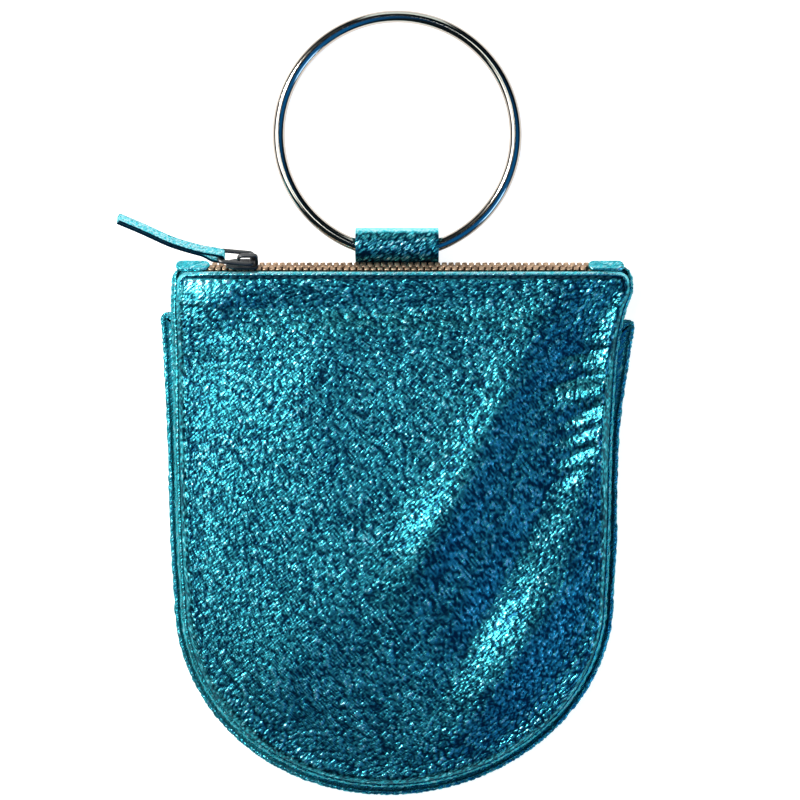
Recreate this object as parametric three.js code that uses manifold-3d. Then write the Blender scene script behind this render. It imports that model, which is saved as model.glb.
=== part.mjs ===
// Ring handle bag: a flat U-shaped leather pouch with a zip along its top and a round metal ring
// for a handle. It lies on its back: X runs along the zip, Y up towards the ring, Z off the
// surface that it lies on. The origin is on that surface, under the middle of the pouch, on the
// line through the middle of the ring's strap.
import * as THREE from "three";
import { mergeVertices } from "three/addons/utils/BufferGeometryUtils.js";
import Module from "manifold-3d";

const wasm = await Module();
wasm.setup();

// Leather and the spaces between its layers
const LEATHER = 1.2;
const LAYER_GAP = 0.3;

// The pouch, seen from the front
const POUCH_HALF_WIDTH = 90;
const POUCH_TOP = 106.2;
const POUCH_BOTTOM = -103.4;
const ROUND_START = -28;
const ROUND_SHIFT = -2.6;
const POUCH_CORNER_LEFT = 7;
const POUCH_CORNER_RIGHT = 6;

// The slip pocket behind it
const POCKET_HALF_WIDTH = 92.6;
const POCKET_TOP = 87.6;
const POCKET_TOP_DROP = 3;
const POCKET_BOTTOM = -106.9;
const POCKET_CORNER = 3;
const POCKET_HEM = 2.2;
const POCKET_HEM_RISE = 1.2;

// Heights of the pouch as it lies
const BACK_ROLL_RISE = 2.2;
const SEAM_HEIGHT_AT_ZIP = 11.5;
const SHOULDER_HEIGHT = 11.2;
const SHOULDER_HEIGHT_AT_ZIP = 13;
const CREST_HEIGHT = 15.6;
const SHOULDER_WIDTH = 3.6;
const SHOULDER_RISE_START = 45;
const SHOULDER_RISE_END = 20;

// The zip
const ZIP_Y = 104.35;
const ZIP_HEIGHT = 8.6;
const ZIP_LEAN = 45;
const TOOTH_PITCH = 2.7;
const TEETH_INSET_LEFT = 15.2;
const TEETH_INSET_RIGHT = 13.6;
const TEETH_WIDTH = 4.6;
const TEETH_THICK = 1.2;
const TEETH_ROOT = 0.24;
const TOOTH_SHARE = 0.6;
const TAPE_THICK = 0.6;
const TAPE_LEG = 13;
const TAPE_BEYOND_TEETH = 1.8;
const END_TAB_LENGTH_LEFT = 13.6;
const END_TAB_LENGTH_RIGHT = 14.4;
const END_TAB_FRONT = 1.9;
const END_TAB_BACK = 3.3;

// Slider and pull
const SLIDER_FROM_END = 19.4;
const SLIDER_LENGTH = 12.9;
const SLIDER_WIDTH = 5.6;
const SLIDER_PLATE = 1.2;
const BRIDGE_WIDTH = 1.8;
const BRIDGE_WIRE = 1.2;
const BRIDGE_HEIGHT = 4.6;
const LINK_WIRE = 1.5;
const LINK_WIDTH = 8;
const LINK_CORNER = 1.4;
const LINK_LENGTH = 14.5;
const LINK_RISE = 7;
const THONG_WIDTH = 4.6;
const THONG_LAYER = 1.1;
const THONG_LENGTH = 41.6;

// The ring and its strap
const RING_RADIUS = 47.5;
const RING_WIRE = 5;
const STRAP_WIDTH = 33.4;
const STRAP_LEATHER = 1.1;
const STRAP_CLEARANCE = 0.25;
const STRAP_LOOP_TOP = 121;
const STRAP_LEG = 10;
const AXIS_Y = 112.6;

const RUNNING_GAP = 0.3;
const TOP_STEPS = 20;
const CORNER_STEPS = 4;
const SIDE_STEPS = 12;
const ROUND_STEPS = 36;

const teal = { color: 0x0d7f96, roughness: 0.35, metalness: 0.75 };
const gunmetal = { color: 0x2b2c2e, roughness: 0.15, metalness: 1 };

const mix = (a, b, share) => a + (b - a) * share;
const smooth = (from, to, value) => THREE.MathUtils.smoothstep(value, from, to);

// How the sides run from the top corner down to where the round bottom starts: drop is a share of
// that height, left and right are shares of the half width.
const POUCH_SIDES = [
  { drop: 0.045, left: 1.007, right: 1.052 },
  { drop: 0.09, left: 1.009, right: 1.05 },
  { drop: 0.144, left: 1.009, right: 1.02 },
  { drop: 0.27, left: 1.002, right: 0.987 },
  { drop: 0.52, left: 0.996, right: 0.962 },
  { drop: 0.82, left: 0.984, right: 0.951 },
  { drop: 1, left: 0.967, right: 0.938 },
];
const POCKET_SIDES = [
  { drop: 0.03, left: 1.028, right: 1.035 },
  { drop: 0.14, left: 1.018, right: 1.013 },
  { drop: 0.36, left: 1.004, right: 0.974 },
  { drop: 0.57, left: 0.995, right: 0.961 },
  { drop: 0.79, left: 0.987, right: 0.957 },
  { drop: 1, left: 0.97, right: 0.943 },
];

// Broad folds of the front leather: place, length and width are shares of the pouch's half width,
// turn is in degrees from the zip line, rise is a share of the leather's height over the seam.
const FOLDS = [
  { x: 0.37, y: 0.36, length: 0.73, width: 0.1, turn: 65, rise: 0.13 },
  { x: 0.46, y: -0.27, length: 0.5, width: 0.09, turn: 63, rise: -0.17 },
  { x: 0.83, y: 0.4, length: 0.44, width: 0.07, turn: 80, rise: 0.13 },
  { x: 0.59, y: -0.49, length: 0.5, width: 0.1, turn: 58, rise: 0.16 },
  { x: -0.39, y: 0.62, length: 0.4, width: 0.16, turn: 80, rise: 0.08 },
  { x: -0.3, y: 0.99, length: 0.75, width: 0.07, turn: 0, rise: -0.12 },
  { x: 0.85, y: 0.93, length: 0.3, width: 0.12, turn: 50, rise: -0.12 },
];

// A closed mesh from rings of points, each ring as long as the others, with a single point at
// each end; or without end points, closed from the last ring to the first.
function skin(rings, poles) {
  const count = rings[0].length;
  const points = rings.flat();
  const faces = [];
  const quad = (a, b, c, d) => faces.push(a, b, c, a, c, d);
  const last = poles ? rings.length - 1 : rings.length;
  for (let row = 0; row < last; row += 1) {
    const next = (row + 1) % rings.length;
    for (let i = 0; i < count; i += 1) {
      const j = (i + 1) % count;
      quad(row * count + i, row * count + j, next * count + j, next * count + i);
    }
  }
  if (poles) {
    const first = points.push(poles[0]) - 1;
    const end = points.push(poles[1]) - 1;
    const start = (rings.length - 1) * count;
    for (let i = 0; i < count; i += 1) {
      const j = (i + 1) % count;
      faces.push(first, j, i);
      faces.push(end, start + i, start + j);
    }
  }
  const geometry = new THREE.BufferGeometry();
  geometry.setAttribute("position", new THREE.Float32BufferAttribute(points.flat(), 3));
  geometry.setIndex(faces);
  return facingOut(geometry);
}

// The same mesh with its faces turned outwards.
function facingOut(geometry) {
  const position = geometry.attributes.position;
  const corner = [0, 1, 2].map(() => new THREE.Vector3());
  const index = geometry.index.array;
  let volume = 0;
  for (let i = 0; i < index.length; i += 3) {
    corner.forEach((point, k) => point.fromBufferAttribute(position, index[i + k]));
    volume += corner[0].dot(corner[1].clone().cross(corner[2]));
  }
  if (volume < 0) geometry.setIndex([...index].reverse());
  return geometry;
}

function solidOf(geometry) {
  const bare = geometry.clone();
  bare.deleteAttribute("normal");
  bare.deleteAttribute("uv");
  const merged = mergeVertices(bare, 1e-4);
  return new wasm.Manifold(
    new wasm.Mesh({
      numProp: 3,
      vertProperties: merged.attributes.position.array,
      triVerts: new Uint32Array(merged.index.array),
    }),
  );
}

function geometryOf(solid) {
  const { vertProperties, triVerts } = solid.getMesh();
  const geometry = new THREE.BufferGeometry();
  geometry.setAttribute("position", new THREE.BufferAttribute(vertProperties, 3));
  geometry.setIndex(new THREE.BufferAttribute(triVerts, 1));
  return geometry;
}

function joined(geometries) {
  return geometryOf(geometries.map(solidOf).reduce((all, next) => all.add(next)));
}

function named(name, geometry, look) {
  const mesh = new THREE.Mesh(geometry, new THREE.MeshStandardMaterial(look));
  mesh.name = name;
  return mesh;
}

// A strip of one thickness along a line of points, as a flat closed shape.
function stripShape(points, thickness) {
  const side = (sign) =>
    points.map((point, i) => {
      const before = points[Math.max(i - 1, 0)];
      const after = points[Math.min(i + 1, points.length - 1)];
      const along = after.clone().sub(before).normalize();
      const across = new THREE.Vector2(-along.y, along.x);
      return point.clone().addScaledVector(across, (sign * thickness) / 2);
    });
  return new THREE.Shape([...side(1), ...side(-1).reverse()]);
}

// A flat shape in Y and Z, run along X between two places.
function runAlongX(shape, from, to) {
  const geometry = new THREE.ExtrudeGeometry(shape, {
    depth: to - from,
    bevelEnabled: false,
    curveSegments: 8,
  });
  const axes = new THREE.Matrix4().makeBasis(
    new THREE.Vector3(0, 1, 0),
    new THREE.Vector3(0, 0, 1),
    new THREE.Vector3(1, 0, 0),
  );
  return geometry.applyMatrix4(axes).translate(from, 0, 0);
}

// A flat shape in X and Z, run across Y between two places.
function runAcrossY(shape, from, to) {
  const geometry = new THREE.ExtrudeGeometry(shape, {
    depth: to - from,
    bevelEnabled: false,
    curveSegments: 8,
  });
  return geometry.rotateX(Math.PI / 2).translate(0, to, 0);
}

const arcPoints = (x, y, radius, from, to, steps) =>
  Array.from({ length: steps + 1 }, (_, i) => {
    const angle = THREE.MathUtils.degToRad(mix(from, to, i / steps));
    return new THREE.Vector2(x + radius * Math.cos(angle), y + radius * Math.sin(angle));
  });

// The U outline of a panel, drawn inside its own edge by an inset on each side. Every outline has
// the same points in the same order, each with its share of left, right, bottom and top.
function outline(panel, inset) {
  const leftEdge = (share) => -(panel.halfWidth * share - inset.left);
  const rightEdge = (share) => panel.halfWidth * share - inset.right;
  const top = panel.top - inset.top;
  const bottom = panel.bottom + inset.bottom;
  const height = (row) => mix(panel.top, ROUND_START, row.drop);
  const rows = panel.sides;
  const points = [];
  const add = (x, y, shares) => points.push({ x, y, ...shares });
  const cornerLeft = Math.max(panel.cornerLeft - inset.left, LEATHER / 2);
  const cornerRight = Math.max(panel.cornerRight - inset.right, LEATHER / 2);
  const topLeft = leftEdge(rows[0].left);
  const topRight = rightEdge(rows[0].right);
  const line = (edge, radius) =>
    new THREE.SplineCurve([
      new THREE.Vector2(edge(rows[0]), top - radius),
      ...rows
        .filter((row) => height(row) < panel.top - 2 * radius)
        .map((row) => new THREE.Vector2(edge(row), height(row))),
    ]);
  const sideLeft = line((row) => leftEdge(row.left), cornerLeft);
  const sideRight = line((row) => rightEdge(row.right), cornerRight);
  for (let i = 0; i < TOP_STEPS; i += 1) {
    const x = mix(topLeft + cornerLeft, topRight - cornerRight, i / TOP_STEPS);
    add(x, top, { left: 0, right: 0, bottom: 0, top: 1 });
  }
  for (let i = 0; i < CORNER_STEPS; i += 1) {
    const turn = ((i / CORNER_STEPS) * Math.PI) / 2;
    const x = topRight - cornerRight + cornerRight * Math.sin(turn);
    const y = top - cornerRight + cornerRight * Math.cos(turn);
    const share = i / CORNER_STEPS;
    add(x, y, { left: 0, right: share, bottom: 0, top: 1 - share });
  }
  for (let i = 0; i < SIDE_STEPS; i += 1) {
    const point = sideRight.getPoint(i / SIDE_STEPS);
    add(point.x, point.y, { left: 0, right: 1, bottom: 0, top: 0 });
  }
  const roundLeft = sideLeft.getPoint(1).x;
  const roundRight = sideRight.getPoint(1).x;
  for (let i = 0; i < ROUND_STEPS; i += 1) {
    const turn = (i / ROUND_STEPS) * Math.PI;
    const middle = (roundLeft + roundRight) / 2 + ROUND_SHIFT * Math.sin(turn) ** 2;
    const x = middle + ((roundRight - roundLeft) / 2) * Math.cos(turn);
    const y = ROUND_START - (ROUND_START - bottom) * Math.sin(turn);
    const right = Math.max(Math.cos(turn), 0);
    const left = Math.max(-Math.cos(turn), 0);
    add(x, y, { left, right, bottom: 1 - left - right, top: 0 });
  }
  for (let i = 0; i < SIDE_STEPS; i += 1) {
    const point = sideLeft.getPoint(1 - i / SIDE_STEPS);
    add(point.x, point.y, { left: 1, right: 0, bottom: 0, top: 0 });
  }
  for (let i = 0; i < CORNER_STEPS; i += 1) {
    const turn = ((i / CORNER_STEPS) * Math.PI) / 2;
    const x = topLeft + cornerLeft - cornerLeft * Math.cos(turn);
    const y = top - cornerLeft + cornerLeft * Math.sin(turn);
    const share = i / CORNER_STEPS;
    add(x, y, { left: 1 - share, right: 0, bottom: 0, top: share });
  }
  return points.map((point) => ({ ...point, y: point.y - sag(panel, point) }));
}

// How far the panel's top sits lower towards its right end.
function sag(panel, point) {
  const across = (point.x + panel.halfWidth) / (2 * panel.halfWidth);
  return panel.topDrop * across * smooth(ROUND_START, panel.top, point.y);
}

const evenly = (inset) => ({ left: inset, right: inset, bottom: inset, top: inset });
const plus = (a, b) => ({
  left: a.left + b.left,
  right: a.right + b.right,
  bottom: a.bottom + b.bottom,
  top: a.top + b.top,
});
const bySide = (point, amounts) =>
  point.left * amounts.left +
  point.right * amounts.right +
  point.bottom * amounts.bottom +
  point.top * amounts.top;

const pouch = {
  halfWidth: POUCH_HALF_WIDTH,
  top: POUCH_TOP,
  topDrop: 0,
  bottom: POUCH_BOTTOM,
  cornerLeft: POUCH_CORNER_LEFT,
  cornerRight: POUCH_CORNER_RIGHT,
  sides: POUCH_SIDES,
};
const pocket = {
  halfWidth: POCKET_HALF_WIDTH,
  top: POCKET_TOP,
  topDrop: POCKET_TOP_DROP,
  bottom: POCKET_BOTTOM,
  cornerLeft: POCKET_CORNER,
  cornerRight: POCKET_CORNER,
  sides: POCKET_SIDES,
};
const MIDDLE = { x: 0, y: 0 };
const towardsMiddle = (point, share) => ({
  ...point,
  x: mix(MIDDLE.x, point.x, share),
  y: mix(MIDDLE.y, point.y, share),
});

// The slip pocket lies flat on the surface, with a turned hem that shows round the U.
function pocketPanel() {
  const flat = (share, z) =>
    outline(pocket, evenly(POCKET_HEM + LEATHER))
      .map((point) => towardsMiddle(point, share))
      .map((point) => [point.x, point.y, z]);
  const hem = (inset, z, rise) =>
    outline(pocket, evenly(inset)).map((point) => [
      point.x,
      point.y,
      z + rise * (1 - point.top),
    ]);
  const rings = [
    flat(0.5, 0),
    flat(1, 0),
    hem(LEATHER / 2, 0, 0),
    hem(0, LEATHER / 2, 0),
    hem(0, LEATHER / 2, POCKET_HEM_RISE / 2),
    hem(LEATHER / 2, LEATHER, POCKET_HEM_RISE),
    hem(POCKET_HEM - LEATHER / 2, LEATHER, POCKET_HEM_RISE),
    hem(POCKET_HEM, LEATHER, POCKET_HEM_RISE / 2),
    flat(1, LEATHER),
    flat(0.5, LEATHER),
  ];
  return skin(rings, [
    [MIDDLE.x, MIDDLE.y, 0],
    [MIDDLE.x, MIDDLE.y, LEATHER],
  ]);
}

// The back of the pouch: flat over the pocket, rolled up round the U to meet the front's seam.
const BACK_LOW = LEATHER + LAYER_GAP;
const BACK_ROLL = { left: 4.2, right: 2.6, bottom: 2.4, top: 2.4 };
const ROLL_END = 60;

function backPanel() {
  const roll = (turnShare, inward) =>
    outline(pouch, evenly(0)).map((edge, i) => {
      const reach = bySide(edge, BACK_ROLL);
      const rise = mix(BACK_ROLL_RISE, LEATHER, edge.top);
      const end = mix(ROLL_END, 0, edge.top);
      const turn = THREE.MathUtils.degToRad(mix(-90, end, turnShare));
      const inset = reach - (reach - inward) * Math.cos(turn);
      const point = outline(pouch, evenly(inset))[i];
      return [point.x, point.y, BACK_LOW + rise + (rise - inward) * Math.sin(turn)];
    });
  const flat = (share, z) =>
    outline(pouch, evenly(BACK_ROLL.left + LEATHER))
      .map((point) => towardsMiddle(point, share))
      .map((point) => [point.x, point.y, z]);
  const top = BACK_LOW + LEATHER;
  const rings = [
    flat(0.5, BACK_LOW),
    flat(1, BACK_LOW),
    ...[0, 0.3, 0.6, 0.8, 1].map((share) => roll(share, 0)),
    ...[1, 0.6, 0.3, 0].map((share) => roll(share, LEATHER)),
    flat(1, top),
    flat(0.5, top),
  ];
  return skin(rings, [
    [MIDDLE.x, MIDDLE.y, BACK_LOW],
    [MIDDLE.x, MIDDLE.y, top],
  ]);
}

// The front of the pouch: a hollow domed skin from the seam over a tight shoulder to a low crest.
// Its inside is one thickness down, but no lower than the seam, where the skin ends in a flat rim.
const SEAM_HEIGHT = BACK_LOW + BACK_ROLL_RISE * (1 + Math.sin(Math.PI / 3)) + LAYER_GAP;
const FRONT_TOP = ZIP_Y - 0.95;
const FRONT_INSET = { left: 2.4, right: 1.6, bottom: 1.5, top: POUCH_TOP - FRONT_TOP };
const CORNER_RUN = 12;

const foldRise = (x, y) =>
  FOLDS.reduce((sum, fold) => {
    const turn = THREE.MathUtils.degToRad(fold.turn);
    const dx = x / POUCH_HALF_WIDTH - fold.x;
    const dy = y / POUCH_HALF_WIDTH - fold.y;
    const along = (dx * Math.cos(turn) + dy * Math.sin(turn)) / fold.length;
    const across = (dy * Math.cos(turn) - dx * Math.sin(turn)) / fold.width;
    const height = fold.rise * (CREST_HEIGHT - SEAM_HEIGHT);
    return sum + height * Math.exp(-along * along - across * across);
  }, 0);

function frontPanel() {
  const edge = outline(pouch, FRONT_INSET);
  const leftEnd = Math.min(...edge.map((point) => point.x));
  const rightEnd = Math.max(...edge.map((point) => point.x));
  const zipShare = (point) =>
    point.top * smooth(0, CORNER_RUN, Math.min(point.x - leftEnd, rightEnd - point.x) - 2);
  const seamHeight = (point) => mix(SEAM_HEIGHT, SEAM_HEIGHT_AT_ZIP, zipShare(point));
  const shoulderHeight = (point) =>
    mix(SHOULDER_HEIGHT, SHOULDER_HEIGHT_AT_ZIP, smooth(POUCH_TOP - SHOULDER_RISE_START, POUCH_TOP - SHOULDER_RISE_END, point.y));
  const shoulder = (inset, thick) =>
    outline(pouch, plus(FRONT_INSET, evenly(inset))).map((point, i) => {
      const share = Math.min(inset / SHOULDER_WIDTH, 1);
      const rise = Math.sqrt(1 - (1 - share) ** 2);
      const low = seamHeight(edge[i]);
      const z = mix(low, shoulderHeight(point), rise) + foldRise(point.x, point.y) * share;
      return [point.x, point.y, Math.max(z - thick, low)];
    });
  const domeBase = 2 * SHOULDER_WIDTH;
  const dome = (share, thick) =>
    outline(pouch, plus(FRONT_INSET, evenly(domeBase))).map((base) => {
      const point = towardsMiddle(base, share);
      const z = mix(shoulderHeight(base), CREST_HEIGHT, 1 - share ** 2.4);
      return [point.x, point.y, z + foldRise(point.x, point.y) - thick];
    });
  const pole = (thick) => {
    const z = CREST_HEIGHT + foldRise(MIDDLE.x, MIDDLE.y) - thick;
    return [MIDDLE.x, MIDDLE.y, z];
  };
  const rings = [
    ...[0.12, 0.26, 0.4, 0.54, 0.68, 0.8, 0.91, 1].map((share) => dome(share, 0)),
    ...[1, 0.6, 0.3, 0.1, 0].map((share) => shoulder(share * SHOULDER_WIDTH, 0)),
    shoulder(LEATHER, CREST_HEIGHT),
    shoulder(2.2 * LEATHER, LEATHER),
    ...[1, 0.8, 0.54, 0.26].map((share) => dome(share, LEATHER)),
  ];
  return skin(rings, [pole(0), pole(LEATHER)]);
}

// Lengths along the leaning zip become places in Y and Z.
const lean = THREE.MathUtils.degToRad(ZIP_LEAN);
const atZip = (across, out) =>
  new THREE.Vector2(
    ZIP_Y + across * Math.cos(lean) + out * Math.sin(lean),
    ZIP_HEIGHT - across * Math.sin(lean) + out * Math.cos(lean),
  );
const TEETH_LEFT = TEETH_INSET_LEFT - POUCH_HALF_WIDTH;
const TEETH_ROOM = POUCH_HALF_WIDTH - TEETH_INSET_RIGHT - TEETH_LEFT;
const TEETH_COUNT = Math.round(TEETH_ROOM / TOOTH_PITCH);
const TEETH_RIGHT = TEETH_LEFT + TEETH_COUNT * TOOTH_PITCH;
const TEETH_LOW = TAPE_THICK / 2 + RUNNING_GAP;
const TEETH_TOP = TEETH_LOW + TEETH_THICK;

// The woven tape folds from behind the front's edge, under the teeth, to inside the back.
function tape() {
  const backHeight = BACK_LOW + LEATHER + RUNNING_GAP + STRAP_LEATHER + RUNNING_GAP;
  const backLeg = backHeight + TAPE_THICK;
  const frontEdge = atZip(-TEETH_WIDTH / 2 + 0.1, 0);
  const backEdge = atZip(TEETH_WIDTH / 2 - 0.1, 0);
  const line = [
    new THREE.Vector2(frontEdge.x - TAPE_LEG, frontEdge.y + 0.2),
    new THREE.Vector2(frontEdge.x - 1.5, frontEdge.y + 0.2),
    frontEdge,
    backEdge,
    new THREE.Vector2(backEdge.x - 0.6, backEdge.y - 1.1),
    new THREE.Vector2(backEdge.x - 2, backLeg),
    new THREE.Vector2(backEdge.x - TAPE_LEG, backLeg),
  ];
  return runAlongX(
    stripShape(line, TAPE_THICK),
    TEETH_LEFT - TAPE_BEYOND_TEETH,
    TEETH_RIGHT + TAPE_BEYOND_TEETH,
  );
}

// The teeth of both sides, alternating along one bar of their locked heads.
function teeth() {
  const root = TEETH_WIDTH * TEETH_ROOT;
  const comb = (side) =>
    Array.from({ length: TEETH_COUNT }, (_, i) => {
      const start = TEETH_LEFT + (i + 0.2 + side * 0.1) * TOOTH_PITCH;
      const end = start + TOOTH_PITCH * TOOTH_SHARE;
      const tip = (side * TEETH_WIDTH) / 2;
      return [
        new THREE.Vector2(start, side * root),
        new THREE.Vector2(start, tip),
        new THREE.Vector2(end, tip),
        new THREE.Vector2(end, side * root),
      ];
    }).flat();
  const shape = new THREE.Shape([...comb(-1), ...comb(1).reverse()]);
  const geometry = new THREE.ExtrudeGeometry(shape, {
    depth: TEETH_THICK,
    bevelEnabled: false,
  });
  return geometry.translate(0, 0, TEETH_LOW);
}

// A leather tab laid over one end of the tape, with a foot folded down past it.
function endTab(from, to, foldAt) {
  const under = TEETH_LOW;
  const over = TEETH_TOP + 0.2;
  const foot = -TAPE_THICK;
  const sign = Math.sign(to - from);
  const pad = new THREE.Shape([
    new THREE.Vector2(from, under),
    new THREE.Vector2(to, under),
    new THREE.Vector2(to - sign * 0.6, over - 0.6),
    new THREE.Vector2(to - sign * 2.4, over),
    new THREE.Vector2(from, over),
  ]);
  const fold = new THREE.Shape([
    new THREE.Vector2(foldAt, foot),
    new THREE.Vector2(to - sign * 2, foot),
    new THREE.Vector2(to - sign * 0.6, under + 0.3),
    new THREE.Vector2(foldAt, under + 0.3),
  ]);
  return joined([
    runAcrossY(pad, -END_TAB_FRONT, END_TAB_BACK),
    runAcrossY(fold, LAYER_GAP, END_TAB_BACK),
  ]);
}

// The slider's top plate over the teeth, its lower rib and the bridge that carries the pull.
const PLATE_LOW = TEETH_TOP + RUNNING_GAP;
const PLATE_TOP = PLATE_LOW + SLIDER_PLATE;
const SLIDER_RIGHT = TEETH_LEFT + SLIDER_FROM_END;
const SLIDER_LEFT = SLIDER_RIGHT - SLIDER_LENGTH;
const HINGE_X = SLIDER_RIGHT - BRIDGE_WIRE - RUNNING_GAP - LINK_WIRE / 2;
const HINGE_OUT = PLATE_TOP + BRIDGE_HEIGHT - BRIDGE_WIRE - RUNNING_GAP - LINK_WIRE / 2;

function slider() {
  const middle = (SLIDER_LEFT + SLIDER_RIGHT) / 2;
  const outlineShape = new THREE.Shape();
  const half = SLIDER_WIDTH / 2;
  outlineShape.moveTo(SLIDER_LEFT, -half * 0.6);
  outlineShape.lineTo(SLIDER_LEFT + 3, -half);
  outlineShape.lineTo(SLIDER_RIGHT - 1, -half);
  outlineShape.lineTo(SLIDER_RIGHT, -half * 0.7);
  outlineShape.lineTo(SLIDER_RIGHT, half * 0.7);
  outlineShape.lineTo(SLIDER_RIGHT - 1, half);
  outlineShape.lineTo(SLIDER_LEFT + 3, half);
  outlineShape.lineTo(SLIDER_LEFT, half * 0.6);
  outlineShape.closePath();
  const plate = new THREE.ExtrudeGeometry(outlineShape, {
    depth: SLIDER_PLATE,
    bevelEnabled: false,
  }).translate(0, 0, PLATE_LOW);
  const bridgeLeft = middle - 2.2;
  const rise = BRIDGE_HEIGHT;
  const arch = new THREE.Shape([
    new THREE.Vector2(bridgeLeft, PLATE_TOP - 0.2),
    new THREE.Vector2(bridgeLeft + BRIDGE_WIRE, PLATE_TOP - 0.2),
    new THREE.Vector2(bridgeLeft + BRIDGE_WIRE + 0.6, PLATE_TOP + rise - BRIDGE_WIRE - 0.4),
    new THREE.Vector2(bridgeLeft + BRIDGE_WIRE + 1.4, PLATE_TOP + rise - BRIDGE_WIRE),
    new THREE.Vector2(SLIDER_RIGHT - BRIDGE_WIRE - 0.5, PLATE_TOP + rise - BRIDGE_WIRE),
    new THREE.Vector2(SLIDER_RIGHT - BRIDGE_WIRE, PLATE_TOP + rise - BRIDGE_WIRE - 0.6),
    new THREE.Vector2(SLIDER_RIGHT - BRIDGE_WIRE, PLATE_TOP - 0.2),
    new THREE.Vector2(SLIDER_RIGHT, PLATE_TOP - 0.2),
    new THREE.Vector2(SLIDER_RIGHT, PLATE_TOP + rise - 1),
    new THREE.Vector2(SLIDER_RIGHT - 1, PLATE_TOP + rise),
    new THREE.Vector2(bridgeLeft + 1.4, PLATE_TOP + rise),
    new THREE.Vector2(bridgeLeft + 0.4, PLATE_TOP + rise - 1),
  ]);
  return joined([plate, runAcrossY(arch, -BRIDGE_WIDTH / 2, BRIDGE_WIDTH / 2)]);
}

// The pull's loop of round wire, drawn with its hinge bar at the origin and running to -X.
function pullLink() {
  const half = (LINK_WIDTH - LINK_WIRE) / 2;
  const far = -(LINK_LENGTH - LINK_WIRE);
  const corner = (x, y, from) => arcPoints(x, y, LINK_CORNER, from, from + 90, 4);
  const path = [
    ...corner(-LINK_CORNER, LINK_CORNER - half, -90),
    ...corner(-LINK_CORNER, half - LINK_CORNER, 0),
    ...corner(far + LINK_CORNER, half - LINK_CORNER, 90),
    ...corner(far + LINK_CORNER, LINK_CORNER - half, 180),
  ];
  const sections = path.map((point, i) => {
    const before = path[(i + path.length - 1) % path.length];
    const after = path[(i + 1) % path.length];
    const along = after.clone().sub(before).normalize();
    return Array.from({ length: 8 }, (_, k) => {
      const turn = (k / 8) * 2 * Math.PI;
      const out = (LINK_WIRE / 2) * Math.cos(turn);
      return [
        point.x + out * along.y,
        point.y - out * along.x,
        (LINK_WIRE / 2) * Math.sin(turn),
      ];
    });
  });
  return skin(sections);
}

// The leather pull: a strip folded round the loop's far bar, both layers running on together.
// Its places along and up from that bar are shares of its length.
const THONG_ROUTE = [
  { along: 0.16, up: 0.038 },
  { along: 0.34, up: 0.082 },
  { along: 0.51, up: 0.138 },
  { along: 0.76, up: 0.256 },
  { along: 1, up: 0.36 },
];
const THONG_EYE_TURN = 330;

function pullThong() {
  const bar = -(LINK_LENGTH - LINK_WIRE);
  const inner = LINK_WIRE / 2 + RUNNING_GAP;
  const outer = inner + THONG_LAYER;
  const route = new THREE.SplineCurve([
    new THREE.Vector2(bar - 2.5, 0.3),
    ...THONG_ROUTE.map(
      ({ along, up }) => new THREE.Vector2(bar - along * THONG_LENGTH, up * THONG_LENGTH),
    ),
  ]).getPoints(12);
  const side = (sign, half) =>
    route.map((point, i) => {
      const before = route[Math.max(i - 1, 0)];
      const after = route[Math.min(i + 1, route.length - 1)];
      const along = after.clone().sub(before).normalize();
      const reach = mix(outer, half, smooth(0, 0.25, i / (route.length - 1)));
      return new THREE.Vector2(
        point.x + sign * along.y * reach,
        point.y - sign * along.x * reach,
      );
    });
  const shape = new THREE.Shape([
    ...arcPoints(bar, 0, outer, -90, 90, 8),
    ...side(1, THONG_LAYER + 0.05),
    ...side(-1, THONG_LAYER + 0.05).reverse(),
  ]);
  shape.holes.push(new THREE.Path(arcPoints(bar, 0, inner, 0, THONG_EYE_TURN, 11)));
  return runAcrossY(shape, -THONG_WIDTH / 2, THONG_WIDTH / 2);
}

// The strap: from outside the back panel, round the ring and down behind the teeth to inside it.
const sagitta = RING_RADIUS - Math.sqrt(RING_RADIUS ** 2 - (STRAP_WIDTH / 2) ** 2);
const innerAtEdge = Math.sqrt((RING_RADIUS - RING_WIRE / 2) ** 2 - (STRAP_WIDTH / 2) ** 2);
const SWING_RADIUS = RING_RADIUS - innerAtEdge - sagitta / 2;
const LOOP_RADIUS = SWING_RADIUS + STRAP_CLEARANCE + STRAP_LEATHER / 2;
const AXIS_HEIGHT = LOOP_RADIUS + STRAP_LEATHER / 2 + RUNNING_GAP;

function ringTab() {
  const low = AXIS_HEIGHT - LOOP_RADIUS;
  const inside = BACK_LOW + LEATHER + RUNNING_GAP + STRAP_LEATHER / 2;
  const loopEnd = STRAP_LOOP_TOP - LOOP_RADIUS - STRAP_LEATHER / 2;
  const near = AXIS_Y - LOOP_RADIUS;
  const turn = 2;
  const line = [
    new THREE.Vector2(near - turn - STRAP_LEG, low),
    new THREE.Vector2(AXIS_Y, low),
    ...arcPoints(loopEnd, AXIS_HEIGHT, LOOP_RADIUS, -90, 90, 10),
    ...arcPoints(AXIS_Y, AXIS_HEIGHT, LOOP_RADIUS, 90, 180, 6),
    ...arcPoints(near - turn, inside + turn, turn, 0, -90, 4),
    new THREE.Vector2(near - turn - STRAP_LEG, inside),
  ];
  const shape = stripShape(line, STRAP_LEATHER);
  return runAlongX(shape, -STRAP_WIDTH / 2, STRAP_WIDTH / 2);
}

// The ring lies in the strap with its far side resting on the surface.
function ringHandle() {
  const turns = arcPoints(RING_RADIUS, 0, RING_WIRE / 2, 0, 360, 12);
  const toAxis = RING_RADIUS - sagitta / 2;
  const reach = RING_RADIUS + toAxis;
  const tilt = Math.asin((AXIS_HEIGHT - RING_WIRE / 2) / reach);
  const geometry = new THREE.LatheGeometry(turns, 56);
  return geometry
    .rotateX(Math.PI / 2)
    .translate(0, toAxis, 0)
    .rotateX(-tilt)
    .translate(0, AXIS_Y, AXIS_HEIGHT);
}

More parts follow.
